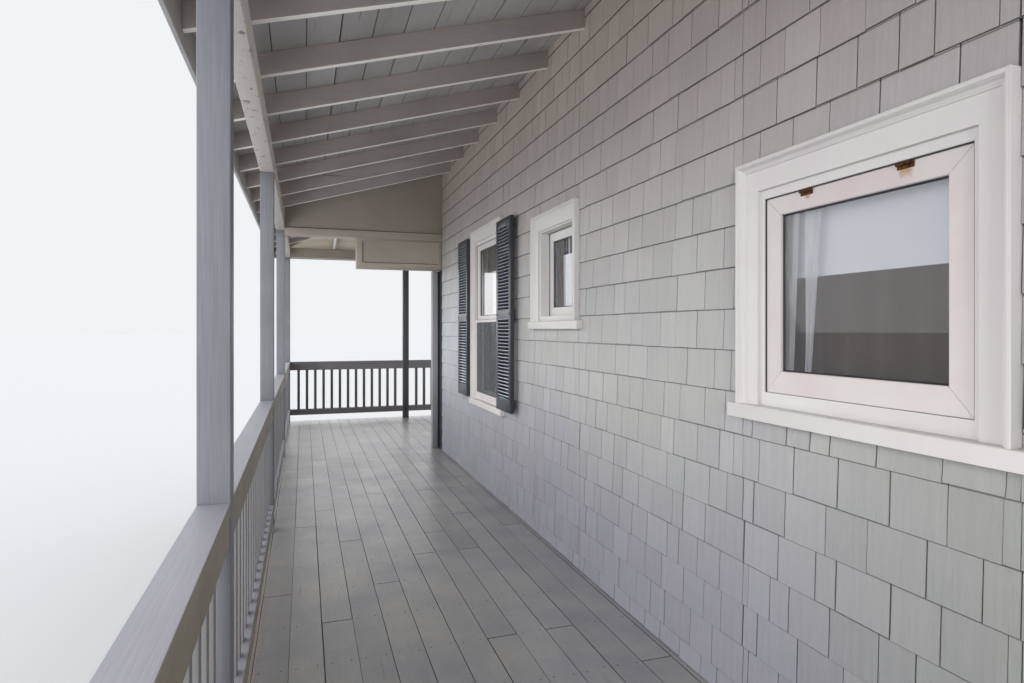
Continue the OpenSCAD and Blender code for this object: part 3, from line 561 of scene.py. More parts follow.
# %% [markdown]
# ## Wall shingles
# Courses rise 155.5 mm. Widths are random, mostly from 80 to 240 mm. A joint
# that falls within 25 mm of one below is moved aside, which is the shingler's
# rule against leaks. A shingle that meets a window is cut round its casing. The
# casings are read from the frame, so the cuts always fit.

# %% Lay out one wall of shingles
NARROWEST, WIDEST, USUAL, SPREAD, OFFSET, NUDGE = 80, 240, 150, 42, 25, 30
SPLIT_OVER, STRIP_OVER, SLIVER, SILL_FOOT = 230, 12, 10, 25
LOWEST, UNEVEN, UNDERLAP = 6.0, 2.2, 9


def window_hole(node, side):
    """What a window covers: along the wall, and from its sill's foot to its head."""
    (a0, u0), (a1, u1) = wall_span(node, side)
    return a0, a1, u0 - SILL_FOOT, u1


def shingle_layout(start_at, end_at, top, holes, seed):
    """Shingles as (from, to, low, high, thickness) in millimetres along one wall."""
    dice = random.Random(seed)
    laid, below, course, low = [], [], 0, LOWEST
    while low < top:
        high = min(FIRST + COURSE * course, top)
        joints, at = [start_at], start_at
        while end_at - at > WIDEST + 10:
            width = min(max(dice.gauss(USUAL, SPREAD), NARROWEST), WIDEST)
            if any(abs(at + width - j) < OFFSET for j in below):
                width += NUDGE if width < USUAL else -NUDGE
            at += width
            joints.append(at)
        joints += [(at + end_at) / 2, end_at] if end_at - at > SPLIT_OVER else [end_at]
        for a, b in zip(joints, joints[1:]):
            drop = dice.uniform(-UNEVEN, UNEVEN)
            cuts = sorted({a, b} | {h for hole in holes for h in hole[:2] if a < h < b})
            for c, d in zip(cuts, cuts[1:]):
                spans = [(low + drop, min(high + UNDERLAP, top - 1))]
                for near, far, sill, head in holes:
                    if near <= (c + d) / 2 <= far:
                        spans = [part for s in spans
                                 for part in ((s[0], min(s[1], sill)), (max(s[0], head), s[1]))
                                 if part[1] - part[0] > STRIP_OVER]
                for foot, tip in spans if d - c > SLIVER else []:
                    thick = BUTT * (1 - THINNING * max(0.0, (foot - low - 3) / COURSE))
                    laid.append((c, d, foot, tip, thick))
        below, low, course = joints, high, course + 1
    return laid


UPPER_AT, UPPER_FROM, CORNER_AT = -238.0, 3200, 16.0
WALL_TOP = (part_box("side_shingles")[1][2] - DECK_Z) / MM
deck_end = (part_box("side_deck")[0][1] - CORNER_Y) / MM
deck_far = (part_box("front_deck")[1][0] - WALL_X) / MM
side_holes = [window_hole(node, SIDE) for node in ("awning_frame", "small_frame", "side_hung_frame")]
front_holes = [window_hole("front_hung_frame", FRONT)]
side_layout = shingle_layout(deck_end, UPPER_AT, WALL_TOP, side_holes, 11)
side_layout += [s for s in shingle_layout(UPPER_AT, -CORNER_AT, WALL_TOP, [], 31) if s[2] > UPPER_FROM]
front_layout = shingle_layout(CORNER_AT, deck_far, WALL_TOP, front_holes, 23)
print(len(side_layout), "shingles on the side,", len(front_layout), "on the front")

# %% Nail the shingles on
GAPS, THINNEST_BY = (1.6, 2.4, 4.6, 5.6), 1.6

for name, side, layout, seed in (("side", SIDE, side_layout, 1), ("front", FRONT, front_layout, 2)):
    dice = random.Random(seed)
    spots = []
    for a, b, low, high, thick in layout:
        width, mid = (b - a - dice.choice(GAPS)) * MM, (a + b) / 2
        depth = (thick - dice.uniform(0, THINNEST_BY)) * MM
        point = place(BUTT, mid, low) if side else place(mid, -BUTT, low)
        spots.append((point, (width, depth, (high - low) * MM), (0, 0, -QUARTER if side else 2 * QUARTER)))
    lay(name + "_wall_shingles", shingle_piece, spots, shingle_paint, "shingle_paint", seed + 2,
        (name + "_shingles",), (0.0, 0.25, 0.0))

# %% [markdown]
# ## Deck
# Porch boards 140 mm wide run the length of the porch, 2.4 mm apart, and butt
# over a joist. The joist lines are read from the frame. Butts that the
# photograph shows are listed, and the rest are random, never side by side.

# %% Find the joists
faces_y = sorted({round(v.co.y, 4) for v in frame["nodes"]["deck_joists"].data.vertices})
joist_lines = [((a + b) / 2 - CORNER_Y) / MM for a, b in zip(faces_y, faces_y[1:]) if b - a < 0.045]
print(len(joist_lines), "joists, from", round(joist_lines[0]), "to", round(joist_lines[-1]))

# %% Lay the deck boards
BOARD, BOARD_PITCH, BOARD_GAP, FIRST_SEAM, DECK_T = 140.0, 142.4, 2.4, -1872.0, 38.0
SHORTEST, LONGEST, LAST_LEAST, APART = 1200, 3600, 700, 300
NAIL_SIZE, NAIL_INSET, NAILED_OVER = (0.0085, 0.0085, 0.0014), 28, 60
STRAY_X, STRAY_Y, SUNK = 4, 6, -0.2
LYING = (-QUARTER, 0, 0)
SEEN_BUTTS, SEEN_LEAST, SEEN_MOST = {3: -4440, 2: -2750, 4: -3160, 5: -260}, 500, 4300
UNDER_WALL, BACK_END = -40, -18
deck_back = (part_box("side_deck")[1][0] - WALL_X) / MM
deck_front = (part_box("front_deck")[1][1] - CORNER_Y) / MM


def deck_board(left, right, at, length):
    size = ((right - left) * MM, DECK_T * MM, length * MM)
    return place((left + right) / 2, at, -DECK_T), size, LYING


dice = random.Random(8)
boards, nails, last = [], [], []
for i in range(ceil((deck_far - FIRST_SEAM) / BOARD_PITCH)):
    left = max(FIRST_SEAM + i * BOARD_PITCH, FIRST_SEAM + 4)
    right = min(FIRST_SEAM + i * BOARD_PITCH + BOARD, deck_far)
    begin = deck_end if left < UNDER_WALL else -CORNER_AT
    if left < deck_back < right and left > UNDER_WALL:
        boards.append(deck_board(left, deck_back, deck_end, BACK_END - deck_end))
    butts, at = [begin], begin
    while deck_front - at > LONGEST + 100:
        want = [j for j in joist_lines if SHORTEST < j - at < LONGEST and deck_front - j > LAST_LEAST
                and all(abs(j - b) > APART for b in last)]
        near = SEEN_BUTTS.get(i)
        if near and SEEN_LEAST < near - at < SEEN_MOST:
            want = [min(joist_lines, key=lambda j: abs(j - near))]
        at = dice.choice(want)
        butts.append(at)
    last = butts[1:]
    for a, b in zip(butts, [*last, deck_front]):
        boards.append(deck_board(left, right, a if a == begin else a + BOARD_GAP / 2, b - a - BOARD_GAP))
    for j in joist_lines:
        if begin < j < deck_front and right - left > NAILED_OVER:
            for x in (left + NAIL_INSET, right - NAIL_INSET):
                nail_x = x + dice.uniform(-STRAY_X, STRAY_X)
                nail = place(nail_x, j + dice.uniform(-STRAY_Y, STRAY_Y), SUNK)
                nails.append((nail, NAIL_SIZE, (0, 0, 0)))

stain_and_light_patch(deck_paint, place(FIRST_SEAM + 70, -4400, 0), "#7d6558", (0.16, 2.6, 0.06))
# Painted highlight: a pale patch on the deck towards the house corner, for the sky light on the far deck.
stain_and_light_patch(deck_paint, place(-900, 900, 0), "#bababc", (1.5, 2.3, 0.3))
lay("deck_boards", deck_piece, boards, deck_paint, "deck_paint", 12, ("side_deck", "front_deck"),
    (0.0, 0.0, 0.03))
lay("deck_nails", nail_piece, nails, nail_iron, "deck_paint", 13)

# %% [markdown]
# ## Eased lumber
# A sawn member never has a knife edge: the mill eases it by about 3 mm, and
# paint rounds it further. The CAD node keeps its sharp edges, and a copy of it,
# with its doubles merged, gets a Bevel. Each loose board in the copy gets its
# own `shade`, so two rafters never match exactly.

# %% Ease the edges of a CAD node
SLOTS = {part["node"]: part["material_slot"] for part in frame["record"]["subparts"]}
DOUBLES, FLAT, SHARP = 0.00002, radians(0.3), radians(35)


def loose_parts(bm):
    """Each board in a mesh, as a list of its points."""
    seen = set()
    for first in bm.verts:
        group = [] if first in seen else [first]
        seen.add(first)
        for v in group:
            for e in v.link_edges:
                other = e.other_vert(v)
                if other not in seen:
                    seen.add(other)
                    group.append(other)
        if group:
            yield group


def eased(node, finish, edge_mm, seed):
    bm = bmesh.new()
    bm.from_mesh(frame["nodes"][node].data)
    bmesh.ops.remove_doubles(bm, verts=bm.verts, dist=DOUBLES)
    if "shutters" not in node:
        bmesh.ops.dissolve_limit(bm, angle_limit=FLAT, verts=bm.verts, edges=bm.edges)
    layers = [bm.verts.layers.float.new(key) for key in ("shade", "hue")]
    dice = random.Random(seed)
    for group in loose_parts(bm):
        for layer in layers:
            value = dice.uniform(-1, 1)
            for v in group:
                v[layer] = value
    mesh = mesh_from(bm, node + "_eased")
    mesh.materials.append(finish)
    mesh.polygons.foreach_set("use_smooth", [True] * len(mesh.polygons))
    obj = link(node + "_eased", mesh)
    soften = obj.modifiers.new("eased edges", "BEVEL")
    soften.width, soften.segments, soften.limit_method = edge_mm * MM, 2, "ANGLE"
    soften.angle_limit, soften.harden_normals = SHARP, True
    finish_piece(obj, SLOTS[node], node)


EASED = (
    ("side_posts corner_post", post_paint, 3), ("front_posts", shaded_end_post_paint, 3),
    # corner_board: a dark board of painted shade, for the shadowed gap beside the wall post.
    ("wall_post", wall_post_paint, 2), ("corner_board", gap_shade_paint, 1), ("side_beam", beam_paint, 3),
    ("front_beam", cross_beam_paint, 3), ("side_rafters", rafter_paint, 2),
    ("front_rafters", cross_rafter_paint, 2), ("hip_rafter", cross_ceiling_paint, 2),
    ("fascia", cross_rail_paint, 2), ("gable_panel", panel_paint, 1), ("panel_band", band_paint, 2),
    ("boxed_panel", panel_paint, 2), ("rim_boards", cross_rail_paint, 3), ("deck_ledgers", framing, 2),
    ("deck_joists", cross_framing, 2), ("deck_girders", framing, 2), ("deck_posts", upright_framing, 3),
    ("side_foundation front_foundation", concrete, 6), ("deck_piers", concrete, 5),
    ("side_shutters front_shutters", shutter_paint, 1), ("window_sills", trim_paint, 2),
    ("awning_frame small_frame side_hung_frame front_hung_frame", trim_paint, 1.5),
    ("window_screens", trim_paint, 1), ("awning_hinges", hinge_iron, 0.5))
members = [(node, finish, edge) for nodes, finish, edge in EASED for node in nodes.split()]
for seed, (node, finish, edge) in enumerate(members, 40):
    eased(node, finish, edge, seed)
print(len(members), "nodes eased")

# %% [markdown]
# The end panel's open seams are drawn as thin dark bars of painted shade: one
# over its band, and two inside the left and the lower board of the boxed panel.

# %% Painted shade in the open seams of the end panel
band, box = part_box("panel_band"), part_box("boxed_panel")
frame_w, recess, thin, deep = 0.066, 0.014, 0.005, 0.008
left, right = box[0][0] + frame_w, box[1][0] - frame_w
low, high, face = box[0][2] + frame_w, box[1][2] - frame_w / 2, box[0][1] + recess - 0.006
seams = (
    ((band[0][0] + band[1][0]) / 2, band[0][1] + 0.001, band[1][2] - 0.001,
     band[1][0] - band[0][0] - 0.03, thin),
    ((left + right) / 2, face, low, right - left, thin), (left + thin / 2, face, low, thin, high - low))
spots = [(Vector((x, y + deep, z)), (wide, deep, tall), (0, 0, 0)) for x, y, z, wide, tall in seams]
lay("panel_seams", bar_piece, spots, gap_shade_paint, "panel_paint", 39)

# %% The nodes that keep their CAD mesh
for node, finish in (("side_wall", wall_lining), ("front_wall", wall_lining), ("window_glass", glass),
                     ("screen_cloth", insect_mesh)):
    mesh = frame["nodes"][node].data
    mesh.materials.clear()
    mesh.materials.append(finish)
print("walls and glass dressed")

# %% [markdown]
# ## Sashes and mouldings
# A sash is four members mitred or joined at the corners, with a glazing bead
# that slopes to the glass, and a casing carries a stepped band round its edge.
# Both are one profile swept round a rectangle. Each member is its own closed
# piece with its own `shade`, so that the joints show as they do on the house.

# %% Sweep a profile round a rectangle
def on_face(side, along, up, out):
    """A point on a wall: millimetres along it, over the deck, and out from its shingles."""
    return place(-out, along, up) if side else place(along, out, up)


def new_object(name, bm, finish, smooth=False):
    bmesh.ops.recalc_face_normals(bm, faces=bm.faces)
    mesh = mesh_from(bm, name)
    mesh.materials.append(finish)
    mesh.polygons.foreach_set("use_smooth", [smooth] * len(mesh.polygons))
    return link(name, mesh)


def prism(bm, rings, ends=True):
    """Closes two equal rings of points into a solid."""
    one, two = rings
    for i, j in zip(range(len(one)), [*range(1, len(one)), 0]):
        bm.faces.new((one[i], one[j], two[j], two[i]))
    if ends:
        bm.faces.new(one)
        bm.faces.new(two[::-1])


def sweep_members(bm, side, corners, profile, dice, slit=0.0):
    """Corners are (outer along, outer up, inner along, inner up). A profile point is (share of
    the way in, millimetres further in, out). Slit is what is left open at each end."""
    shade = bm.verts.layers.float.get("shade") or bm.verts.layers.float.new("shade")
    sign = lambda v: (v > 0) - (v < 0)
    for one, two in zip(corners, corners[1:]):
        value, rings = dice.uniform(-0.6, 0.6), []
        run = (slit * sign(two[0] - one[0]), slit * sign(two[1] - one[1])) * 2
        for oa, ou, ia, iu in ([c + d for c, d in zip(one, run)], [c - d for c, d in zip(two, run)]):
            ring = []
            for share, extra, out in profile:
                a = oa + share * (ia - oa) + extra * sign(ia - oa)
                u = ou + share * (iu - ou) + extra * sign(iu - ou)
                ring.append(bm.verts.new(on_face(side, a, u, out)))
                ring[-1][shade] = value
            rings.append(ring)
        prism(bm, rings)


def frame_corners(low, high, stile, foot, head):
    """Up the near stile, along the head, down the far stile and back along the foot."""
    (a0, u0), (a1, u1) = low, high
    near, far = (a0, u0, a0 + stile, u0 + foot), (a1, u0, a1 - stile, u0 + foot)
    return [near, (a0, u1, a0 + stile, u1 - head), (a1, u1, a1 - stile, u1 - head), far, near]


print("sweep ready")

# %% Sashes
SASH_T, PUTTY, SLIT = 35.0, 6, 0.7
AWNING_SASH, SMALL_SASH = (68, 76, 63, -17.0), (50, 59, 59, -75.0)
HUNG_STILE, HUNG_HEAD, HUNG_FOOT, MEETING = 85, 50, 66, 35
UPPER_OUT, LOWER_OUT, MEETING_Z = -12.0, -47.0, 1515

# A sash is its two corners, its stile, foot and head, and how far out it stands.
jobs = [("awning_sash", SIDE, sash_paint, [(*wall_span("awning_sash", SIDE), *AWNING_SASH)]),
        ("small_sash", SIDE, trim_paint, [(*wall_span("small_sash", SIDE), *SMALL_SASH)])]
for node, side in (("side_hung_sashes", SIDE), ("front_hung_sashes", FRONT)):
    low, high = wall_span(node, side)
    upper = ((low[0], MEETING_Z - MEETING / 2), high, HUNG_STILE, MEETING, HUNG_HEAD, UPPER_OUT)
    lower = (low, (high[0], MEETING_Z + MEETING / 2), HUNG_STILE, HUNG_FOOT, MEETING, LOWER_OUT)
    jobs.append((node, side, trim_paint, [upper, lower]))
dice, shade_seals = random.Random(77), bmesh.new()
for node, side, finish, sashes in jobs:
    bm = bmesh.new()
    for *shape, face in sashes:
        corners, pane = frame_corners(*shape), face - (SASH_T - 4.0) / 2
        member = [(0, 0, face - SASH_T), (0, 0, face - 1.5), (0, 1.5, face), (1, -2.5, face),
                  (1, 0, face - 2.5), (1, 0, face - SASH_T)]
        # The dark putty round the glass is painted shade for the stiles' shaded inner sides, and the dark
        # strip round each sash is painted shade for the gap between sash and stop.
        putty = [(1, 0, pane), (1, 0, pane + PUTTY), (1, 1.5, pane + PUTTY), (1, 5, pane)]
        sash_gap_shade = [(0, 0.4, face - 12), (0, -2.9, face - 12), (0, -2.9, face + 3.6), (0, 0.4, face + 3.6)]
        sweep_members(bm, side, corners, member, dice, SLIT)
        sweep_members(shade_seals, side, corners, putty, dice)
        sweep_members(shade_seals, side, corners, sash_gap_shade, dice)
    finish_piece(new_object(node + "_members", bm, finish), "window_paint", node)
finish_piece(new_object("glazing_putty", shade_seals, gap_shade_paint), "window_paint")

# %% Stepped bands on the casings
CASING_OUT, CASING_FOOT, CASING_MITRE = 5.0, 19, 44
BAND_PROFILE = (
    (11, -0.5), (11, 24), (13.5, 24), (13.5, 21), (16.5, 18.5), (19, 13), (22.5, 9.2), (26.5, 7.8),
    (26.5, 5.6), (29.5, 5.4), (31.5, 4.4), (33.5, 2.4), (34, -0.5))
FRAMES = (
    ("awning_frame", SIDE), ("small_frame", SIDE), ("side_hung_frame", SIDE), ("front_hung_frame", FRONT))

bm, dice = bmesh.new(), random.Random(78)
profile = [(0, across, CASING_OUT + out) for across, out in BAND_PROFILE]
for node, side in FRAMES:
    (a0, u0), high = wall_span(node, side)
    corners = frame_corners((a0, u0 + CASING_FOOT), high, CASING_MITRE, 0, CASING_MITRE)
    sweep_members(bm, side, corners[:-1], profile, dice)
finish_piece(new_object("casing_bands", bm, trim_paint), "window_paint")

# %% Fixings that hold the shutters
SHUTTER_W, FIXING_IN, FIXING_UP, FIXING_OUT = 373, 24, 1525, 58

spots = []
for node, side in (("side_shutters", SIDE), ("front_shutters", FRONT)):
    (a0, _), (a1, _) = wall_span(node, side)
    turn = (0, QUARTER, 0) if side else (QUARTER, 0, 0)
    for along in (a0 + FIXING_IN, a0 + SHUTTER_W - FIXING_IN, a1 - SHUTTER_W + FIXING_IN, a1 - FIXING_IN):
        spots.append((on_face(side, along, FIXING_UP, FIXING_OUT), (0.017, 0.017, 0.007), turn))
lay("shutter_fixings", nail_piece, spots, nail_iron, "shutter_paint", 51)

# %% [markdown]
# ## Curtains
# Linen hangs inside the glass on thin rods that are sprung between the jambs.
# Gathered cloth falls in upright folds, so each curtain is one sheet whose
# width follows a wave, deeper towards its hem. Its flat width is the length of
# that wave, which is what the cloth was cut to. At the awning window a pale
# blind is drawn halfway over a dark curtain, between two drapes and the room.
# The pale blind is a painted reflection of sky in the upper glass, and the dark
# curtain a painted reflection of a dark roof in the lower glass.

# %% Spring the rods between the jambs
ROD_IN, JAMB, ROD_R, CUP_R, CUP_LONG = 118.0, 109, 6.0, 11.0, 8
CAFE, TOP, SMALL_ROD, HALF_ROD, HUNG_ROD, BLIND_IN, DRAPE_IN = 1613, 1852, 2042, 1500, 2165, 92.0, 62.0

awning, small, hung, front = [
    [corner[0] + inset for corner, inset in zip(wall_span(*window), (JAMB, -JAMB))] for window in FRAMES]
bm = bmesh.new()
angles = [radians(30 * k) for k in range(12)]
for side, (a0, a1), up, inward in (
        (SIDE, awning, CAFE, ROD_IN), (SIDE, awning, TOP, BLIND_IN + 7), (SIDE, awning, TOP, DRAPE_IN),
        (SIDE, small, SMALL_ROD, ROD_IN), (SIDE, hung, HUNG_ROD, ROD_IN), (SIDE, hung, HALF_ROD, ROD_IN),
        (FRONT, front, HUNG_ROD, ROD_IN), (FRONT, front, HALF_ROD, ROD_IN)):
    for begin, end, radius in ((a0, a1, ROD_R), (a0, a0 + CUP_LONG, CUP_R), (a1 - CUP_LONG, a1, CUP_R)):
        prism(bm, [[bm.verts.new(on_face(side, a, up + radius * sin(t), -inward - radius * cos(t)))
                    for t in angles] for a in (begin, end)])
finish_piece(new_object("curtain_rods", bm, nail_iron), "window_paint")

# %% Hang the curtains
FOLD_COLUMNS, FOLD_ROWS = 12, 10
AWNING_HEM, SMALL_HEM, HUNG_HEM, VALANCE_HEM = 1196, 1502, 800, 1940
CLEAR, SLEEVE = 4, 2


def hang(name, side, low, high, folds, deep, seed, finish=linen, rod_in=ROD_IN, drawn=0.0):
    """A curtain between two (along, up) corners. Drawn pulls its hem to one side."""
    phase, across = random.Random(seed).uniform(0, 6), folds * FOLD_COLUMNS
    (a0, u0), (a1, u1) = low, high
    bm, grid = bmesh.new(), []
    for j in range(FOLD_ROWS + 1):
        fall = j / FOLD_ROWS
        row = []
        for i in range(across + 1):
            t = i / across
            wave = sin(2 * pi * folds * t + phase + 0.5 * sin(7 * t + phase))
            a = a0 + (a1 - a0) * (t + (1 - t) * drawn * fall) + 3 * sin(5 * t + 2 * fall + phase)
            out = -rod_in - wave * deep * (0.55 + 0.45 * fall)
            row.append(bm.verts.new(on_face(side, a, u1 - (u1 - u0) * fall, out)))
        grid.append(row)
    for upper, lower in zip(grid, grid[1:]):
        for i in range(across):
            bm.faces.new((upper[i], upper[i + 1], lower[i + 1], lower[i]))
    bmesh.ops.recalc_face_normals(bm, faces=bm.faces)
    area, height = sum(f.calc_area() for f in bm.faces), (u1 - u0) * MM
    obj = new_object(name, bm, finish, smooth=True)
    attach(obj, "root")
    print(name, "flat width", round(area / height, 2), "m")


(near, far), edge = awning, awning[1] + 4
# Painted reflection: the pale blind stands for sky mirrored in the upper glass, the dark curtain for a dark
# roof mirrored in the lower glass.
hang("awning_blind", SIDE, (near + 3, CAFE - 28), (far - 3, TOP + 6), 1, 0.6, 11, blind_cloth, BLIND_IN)
hang("awning_curtain", SIDE, (near + CLEAR, AWNING_HEM), (far - CLEAR, CAFE + SLEEVE), 6, 7, 1, dark_reflection_linen)
hang("awning_far_drape", SIDE, (edge - 118, AWNING_HEM + 4), (edge - 1, TOP + 6), 3, 7, 8, pale_linen,
     DRAPE_IN, 0.35)
hang("awning_tied_drape", SIDE, (edge - 215, AWNING_HEM), (edge - 140, TOP + 6), 2, 7, 9, pale_linen,
     DRAPE_IN, 0.78)
near, far = small[0] + CLEAR, small[1] - CLEAR
hang("small_valance", SIDE, (near, 1900), (far, SMALL_ROD + SLEEVE), 10, 12, 2)
hang("small_curtain", SIDE, (small[1] - 180, SMALL_HEM), (far, SMALL_ROD - 4), 4, 14, 3)
hang("small_pale_curtain", SIDE, (near, SMALL_HEM), (small[1] - 176, SMALL_ROD - 4), 4, 6, 12, blind_cloth)
near, far = hung[0] + CLEAR, hung[1] - CLEAR
hang("side_valance", SIDE, (near, VALANCE_HEM), (far, HUNG_ROD + SLEEVE), 12, 12, 4)
hang("side_curtain", SIDE, (hung[0] + 150, HUNG_HEM), (far, HALF_ROD + SLEEVE), 10, 16, 5)
near, far = front[0] + CLEAR, front[1] - CLEAR
hang("front_valance", FRONT, (near, VALANCE_HEM), (far, HUNG_ROD + SLEEVE), 12, 12, 6)
hang("front_curtain", FRONT, (near, HUNG_HEM), (far, HALF_ROD + SLEEVE), 13, 16, 7)

# %% [markdown]
# ## Railing
# Each bay is a cap, a board under it, a bottom rail and square balusters about
# 124 mm apart. They are cut to the bays that the frame gives.

# %% Measure the railing bays
CAP, SUBRAIL, BOTTOM, BALUSTER, PITCH = 38.0, 89.0, 85.0, 38.0, 124.0
RAIL_NODES = ("corner_rail", "side_rail_near", "side_rail_middle", "side_rail_far", "front_rail_left",
              "front_rail_right")

bays = {(kind, along_y): [] for kind in ("cap", "board", "bar") for along_y in (True, False)}
for node in RAIL_NODES:
    low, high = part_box(node)
    along_y = high[1] - low[1] > high[0] - low[0]
    width, length = sorted((high[0] - low[0], high[1] - low[1]))
    turn = LYING if along_y else (-QUARTER, 0, -QUARTER)
    way = Vector((0, 1, 0)) if along_y else Vector((1, 0, 0))
    mid = [(a + b) / 2 for a, b in zip(low, high)]
    foot = Vector((mid[0], low[1], 0)) if along_y else Vector((low[0], mid[1], 0))
    top, base = high[2] - (CAP + SUBRAIL) * MM, low[2] + BOTTOM * MM
    for z, height, inset, kind in (
            (high[2] - CAP * MM, CAP, 0, "cap"), (top, SUBRAIL, 3, "board"), (low[2], BOTTOM, 0, "board")):
        size = (width - 2 * inset * MM, height * MM, length)
        bays[kind, along_y].append((foot + Vector((0, 0, z)), size, turn))
    steps = round(length / MM / PITCH)
    for i in range(1, steps):
        point = foot + way * (length * i / steps) + Vector((0, BALUSTER * MM / 2, base))
        bays["bar", along_y].append((point, (BALUSTER * MM, BALUSTER * MM, top - base), (0, 0, 0)))
print({key: len(spots) for key, spots in bays.items()})

# %% Build the railing bays
for seed, (name, kind, along_y, finish) in enumerate((
        ("rail_caps", "cap", True, rail_paint), ("rail_boards", "board", True, rail_paint),
        ("front_rail_caps", "cap", False, shaded_end_rail_paint),
        ("front_rail_boards", "board", False, shaded_end_rail_paint), ("balusters", "bar", True, baluster_paint),
        ("front_balusters", "bar", False, shaded_end_baluster_paint)), 21):
    piece, wobble = (bar_piece, 0.4) if kind == "bar" else (rail_piece, 0)
    lay(name, piece, bays[kind, along_y], finish, "rail_paint", seed,
        RAIL_NODES if name == "rail_caps" else (), (0, 0, wobble))

# %% [markdown]
# ## Roof
# Both slopes are laid in the same way: boards across the rafters, then
# shingles up from the eave. A slope is a plane with its own directions, along
# the eave and up the roof. Pieces run past the hip and are then cut off on its
# upright plane, as a roofer snaps a line and saws them.

# %% Measure the two slopes
ROOF_BOARD_T, ROOFING_T = 20.0, 24.0
side_low, side_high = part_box("side_roof_boards")
front_low, front_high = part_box("front_roof_boards")
roof_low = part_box("side_roofing")[0]
ratio = (front_high[1] - CORNER_Y) / (WALL_X - side_low[0])
side_pitch = atan2(side_high[2] - side_low[2] - ROOF_BOARD_T * MM, side_high[0] - side_low[0])
front_pitch = atan2(front_high[2] - side_low[2] - ROOF_BOARD_T * MM, front_high[1] - front_low[1])
side_length = (side_high[0] - side_low[0]) / cos(side_pitch)
front_length = (front_high[1] - front_low[1]) / cos(front_pitch)
hip_out = Vector((ratio, 1, 0)).normalized()
print("pitches", round(degrees(side_pitch), 2), round(degrees(front_pitch), 2), "ratio", round(ratio, 3))

# %% Lay boards and shingles on the slopes
PAST_HIP, OFFCUT = 0.05, 0.06
ROOF_BOARD_W, EXPOSURE, LAP = 0.168, 0.14, 0.012


def lay_slope(name, side, piece, finish, slot, node, seed, rows, lift, thick, gap, widths):
    """Lays rows of pieces up a slope. Lift is over the rafters' tops."""
    dice = random.Random(seed)
    pitch = side_pitch if side else front_pitch
    turn = (pitch - QUARTER, 0, -QUARTER if side else 2 * QUARTER)
    spots = []
    for low, high in rows:
        reach, up = max(low, 0) * cos(pitch), low * cos(pitch)
        if side:
            at, end = side_low[1], CORNER_Y + (WALL_X - side_low[0] - reach) * ratio + PAST_HIP
        else:
            at, end = WALL_X - (front_high[1] - reach - CORNER_Y) / ratio - PAST_HIP, front_high[0]
        while end - at > 1e-6:
            width = min(widths(dice), end - at)
            if end - at - width < OFFCUT:
                width = end - at
            mid, z = at + width / 2, side_low[2] + lift * MM + low * sin(pitch)
            point = Vector((side_low[0] + up, mid, z)) if side else Vector((mid, front_high[1] - up, z))
            spots.append((point, (width - gap, thick * cos(pitch) * MM, high - low), turn))
            at += width
    hip_cut = (place(0, 0, 0), hip_out if side else -hip_out)
    lay(name, piece, spots, finish, slot, seed + 26, (node,), cuts=[hip_cut])


def board_rows(length, seed):
    """Boards up a slope. They have shrunk, so that no two seams are equally wide."""
    dice = random.Random(seed)
    return [(i * ROOF_BOARD_W, min((i + 1) * ROOF_BOARD_W - dice.uniform(0.003, 0.009), length))
            for i in range(ceil(length / ROOF_BOARD_W))]


def course_rows(length, over):
    rows = [(-over, EXPOSURE - over + LAP)]
    while rows[-1][1] - LAP < length - 0.02:
        low = rows[-1][1] - LAP
        rows.append((low, min(low + EXPOSURE + LAP, length)))
    return rows


for name, side, finish, rows, seed in (
        ("side", SIDE, ceiling_paint, board_rows(side_length, 41), 5),
        ("front", FRONT, cross_ceiling_paint, board_rows(front_length, 42), 6)):
    lay_slope(name + "_ceiling_boards", side, board_piece, finish, "roof_board_paint", name + "_roof_boards",
              seed, rows, 0, ROOF_BOARD_T, 0.001, lambda d: d.uniform(1.8, 4.2))
for name, side, rows, seed in (
        ("side", SIDE, course_rows(side_length, 0.018), 7),
        ("front", FRONT, course_rows(front_length, 0.024), 8)):
    lay_slope(name + "_roof_shingles", side, roof_piece, roof_shingle, "roof_shingle", name + "_roofing",
              seed, rows, ROOF_BOARD_T, ROOFING_T, 0.004,
              lambda d: min(max(d.gauss(0.14, 0.04), 0.08), 0.22))

# %% [markdown]
# Cap shingles fold over the hip in pairs, and lead flashing is dressed over the
# joint between the roof and each wall, so that no rain runs in behind.

# %% Hip caps
CAP_LONG, CAP_WIDE, CAP_T, EAVE_DRIP = 0.21, 0.105, 0.009, 0.012
BUTT_LIFT, TIP_LIFT, FROM_EAVE, FROM_WALL, LAST_CAP = 0.017, 0.004, 0.04, 0.03, 0.11
ROOF_T = (ROOF_BOARD_T + ROOFING_T) * MM

# One pair of cap shingles, drawn in place on the hip with its foot at the origin.
plan, rise = hypot(1, ratio), Vector((0, 0, tan(side_pitch)))
bm, rings = bmesh.new(), []
left, right = Vector((-ratio, -1, 0)) / plan * CAP_WIDE, Vector((ratio, 1, 0)) / plan * CAP_WIDE
left.z, right.z = tan(side_pitch) * left.x, -tan(front_pitch) * right.y
for along, lift in ((0.0, BUTT_LIFT), (CAP_LONG, TIP_LIFT)):
    base = (Vector((1, -ratio, 0)) + rise) / plan * along
    ridge = (base + left, base, base + right)
    rings.append([bm.verts.new(p + Vector((0, 0, lift))) for p in ridge]
                 + [bm.verts.new(p + Vector((0, 0, lift - CAP_T))) for p in ridge[::-1]])
prism(bm, rings, ends=False)
for ring in (rings[0], rings[1][::-1]):
    bm.faces.new((ring[0], ring[1], ring[4], ring[5]))
    bm.faces.new((ring[1], ring[2], ring[3], ring[4]))
cap_piece = new_object("hip_cap", bm, roof_shingle)

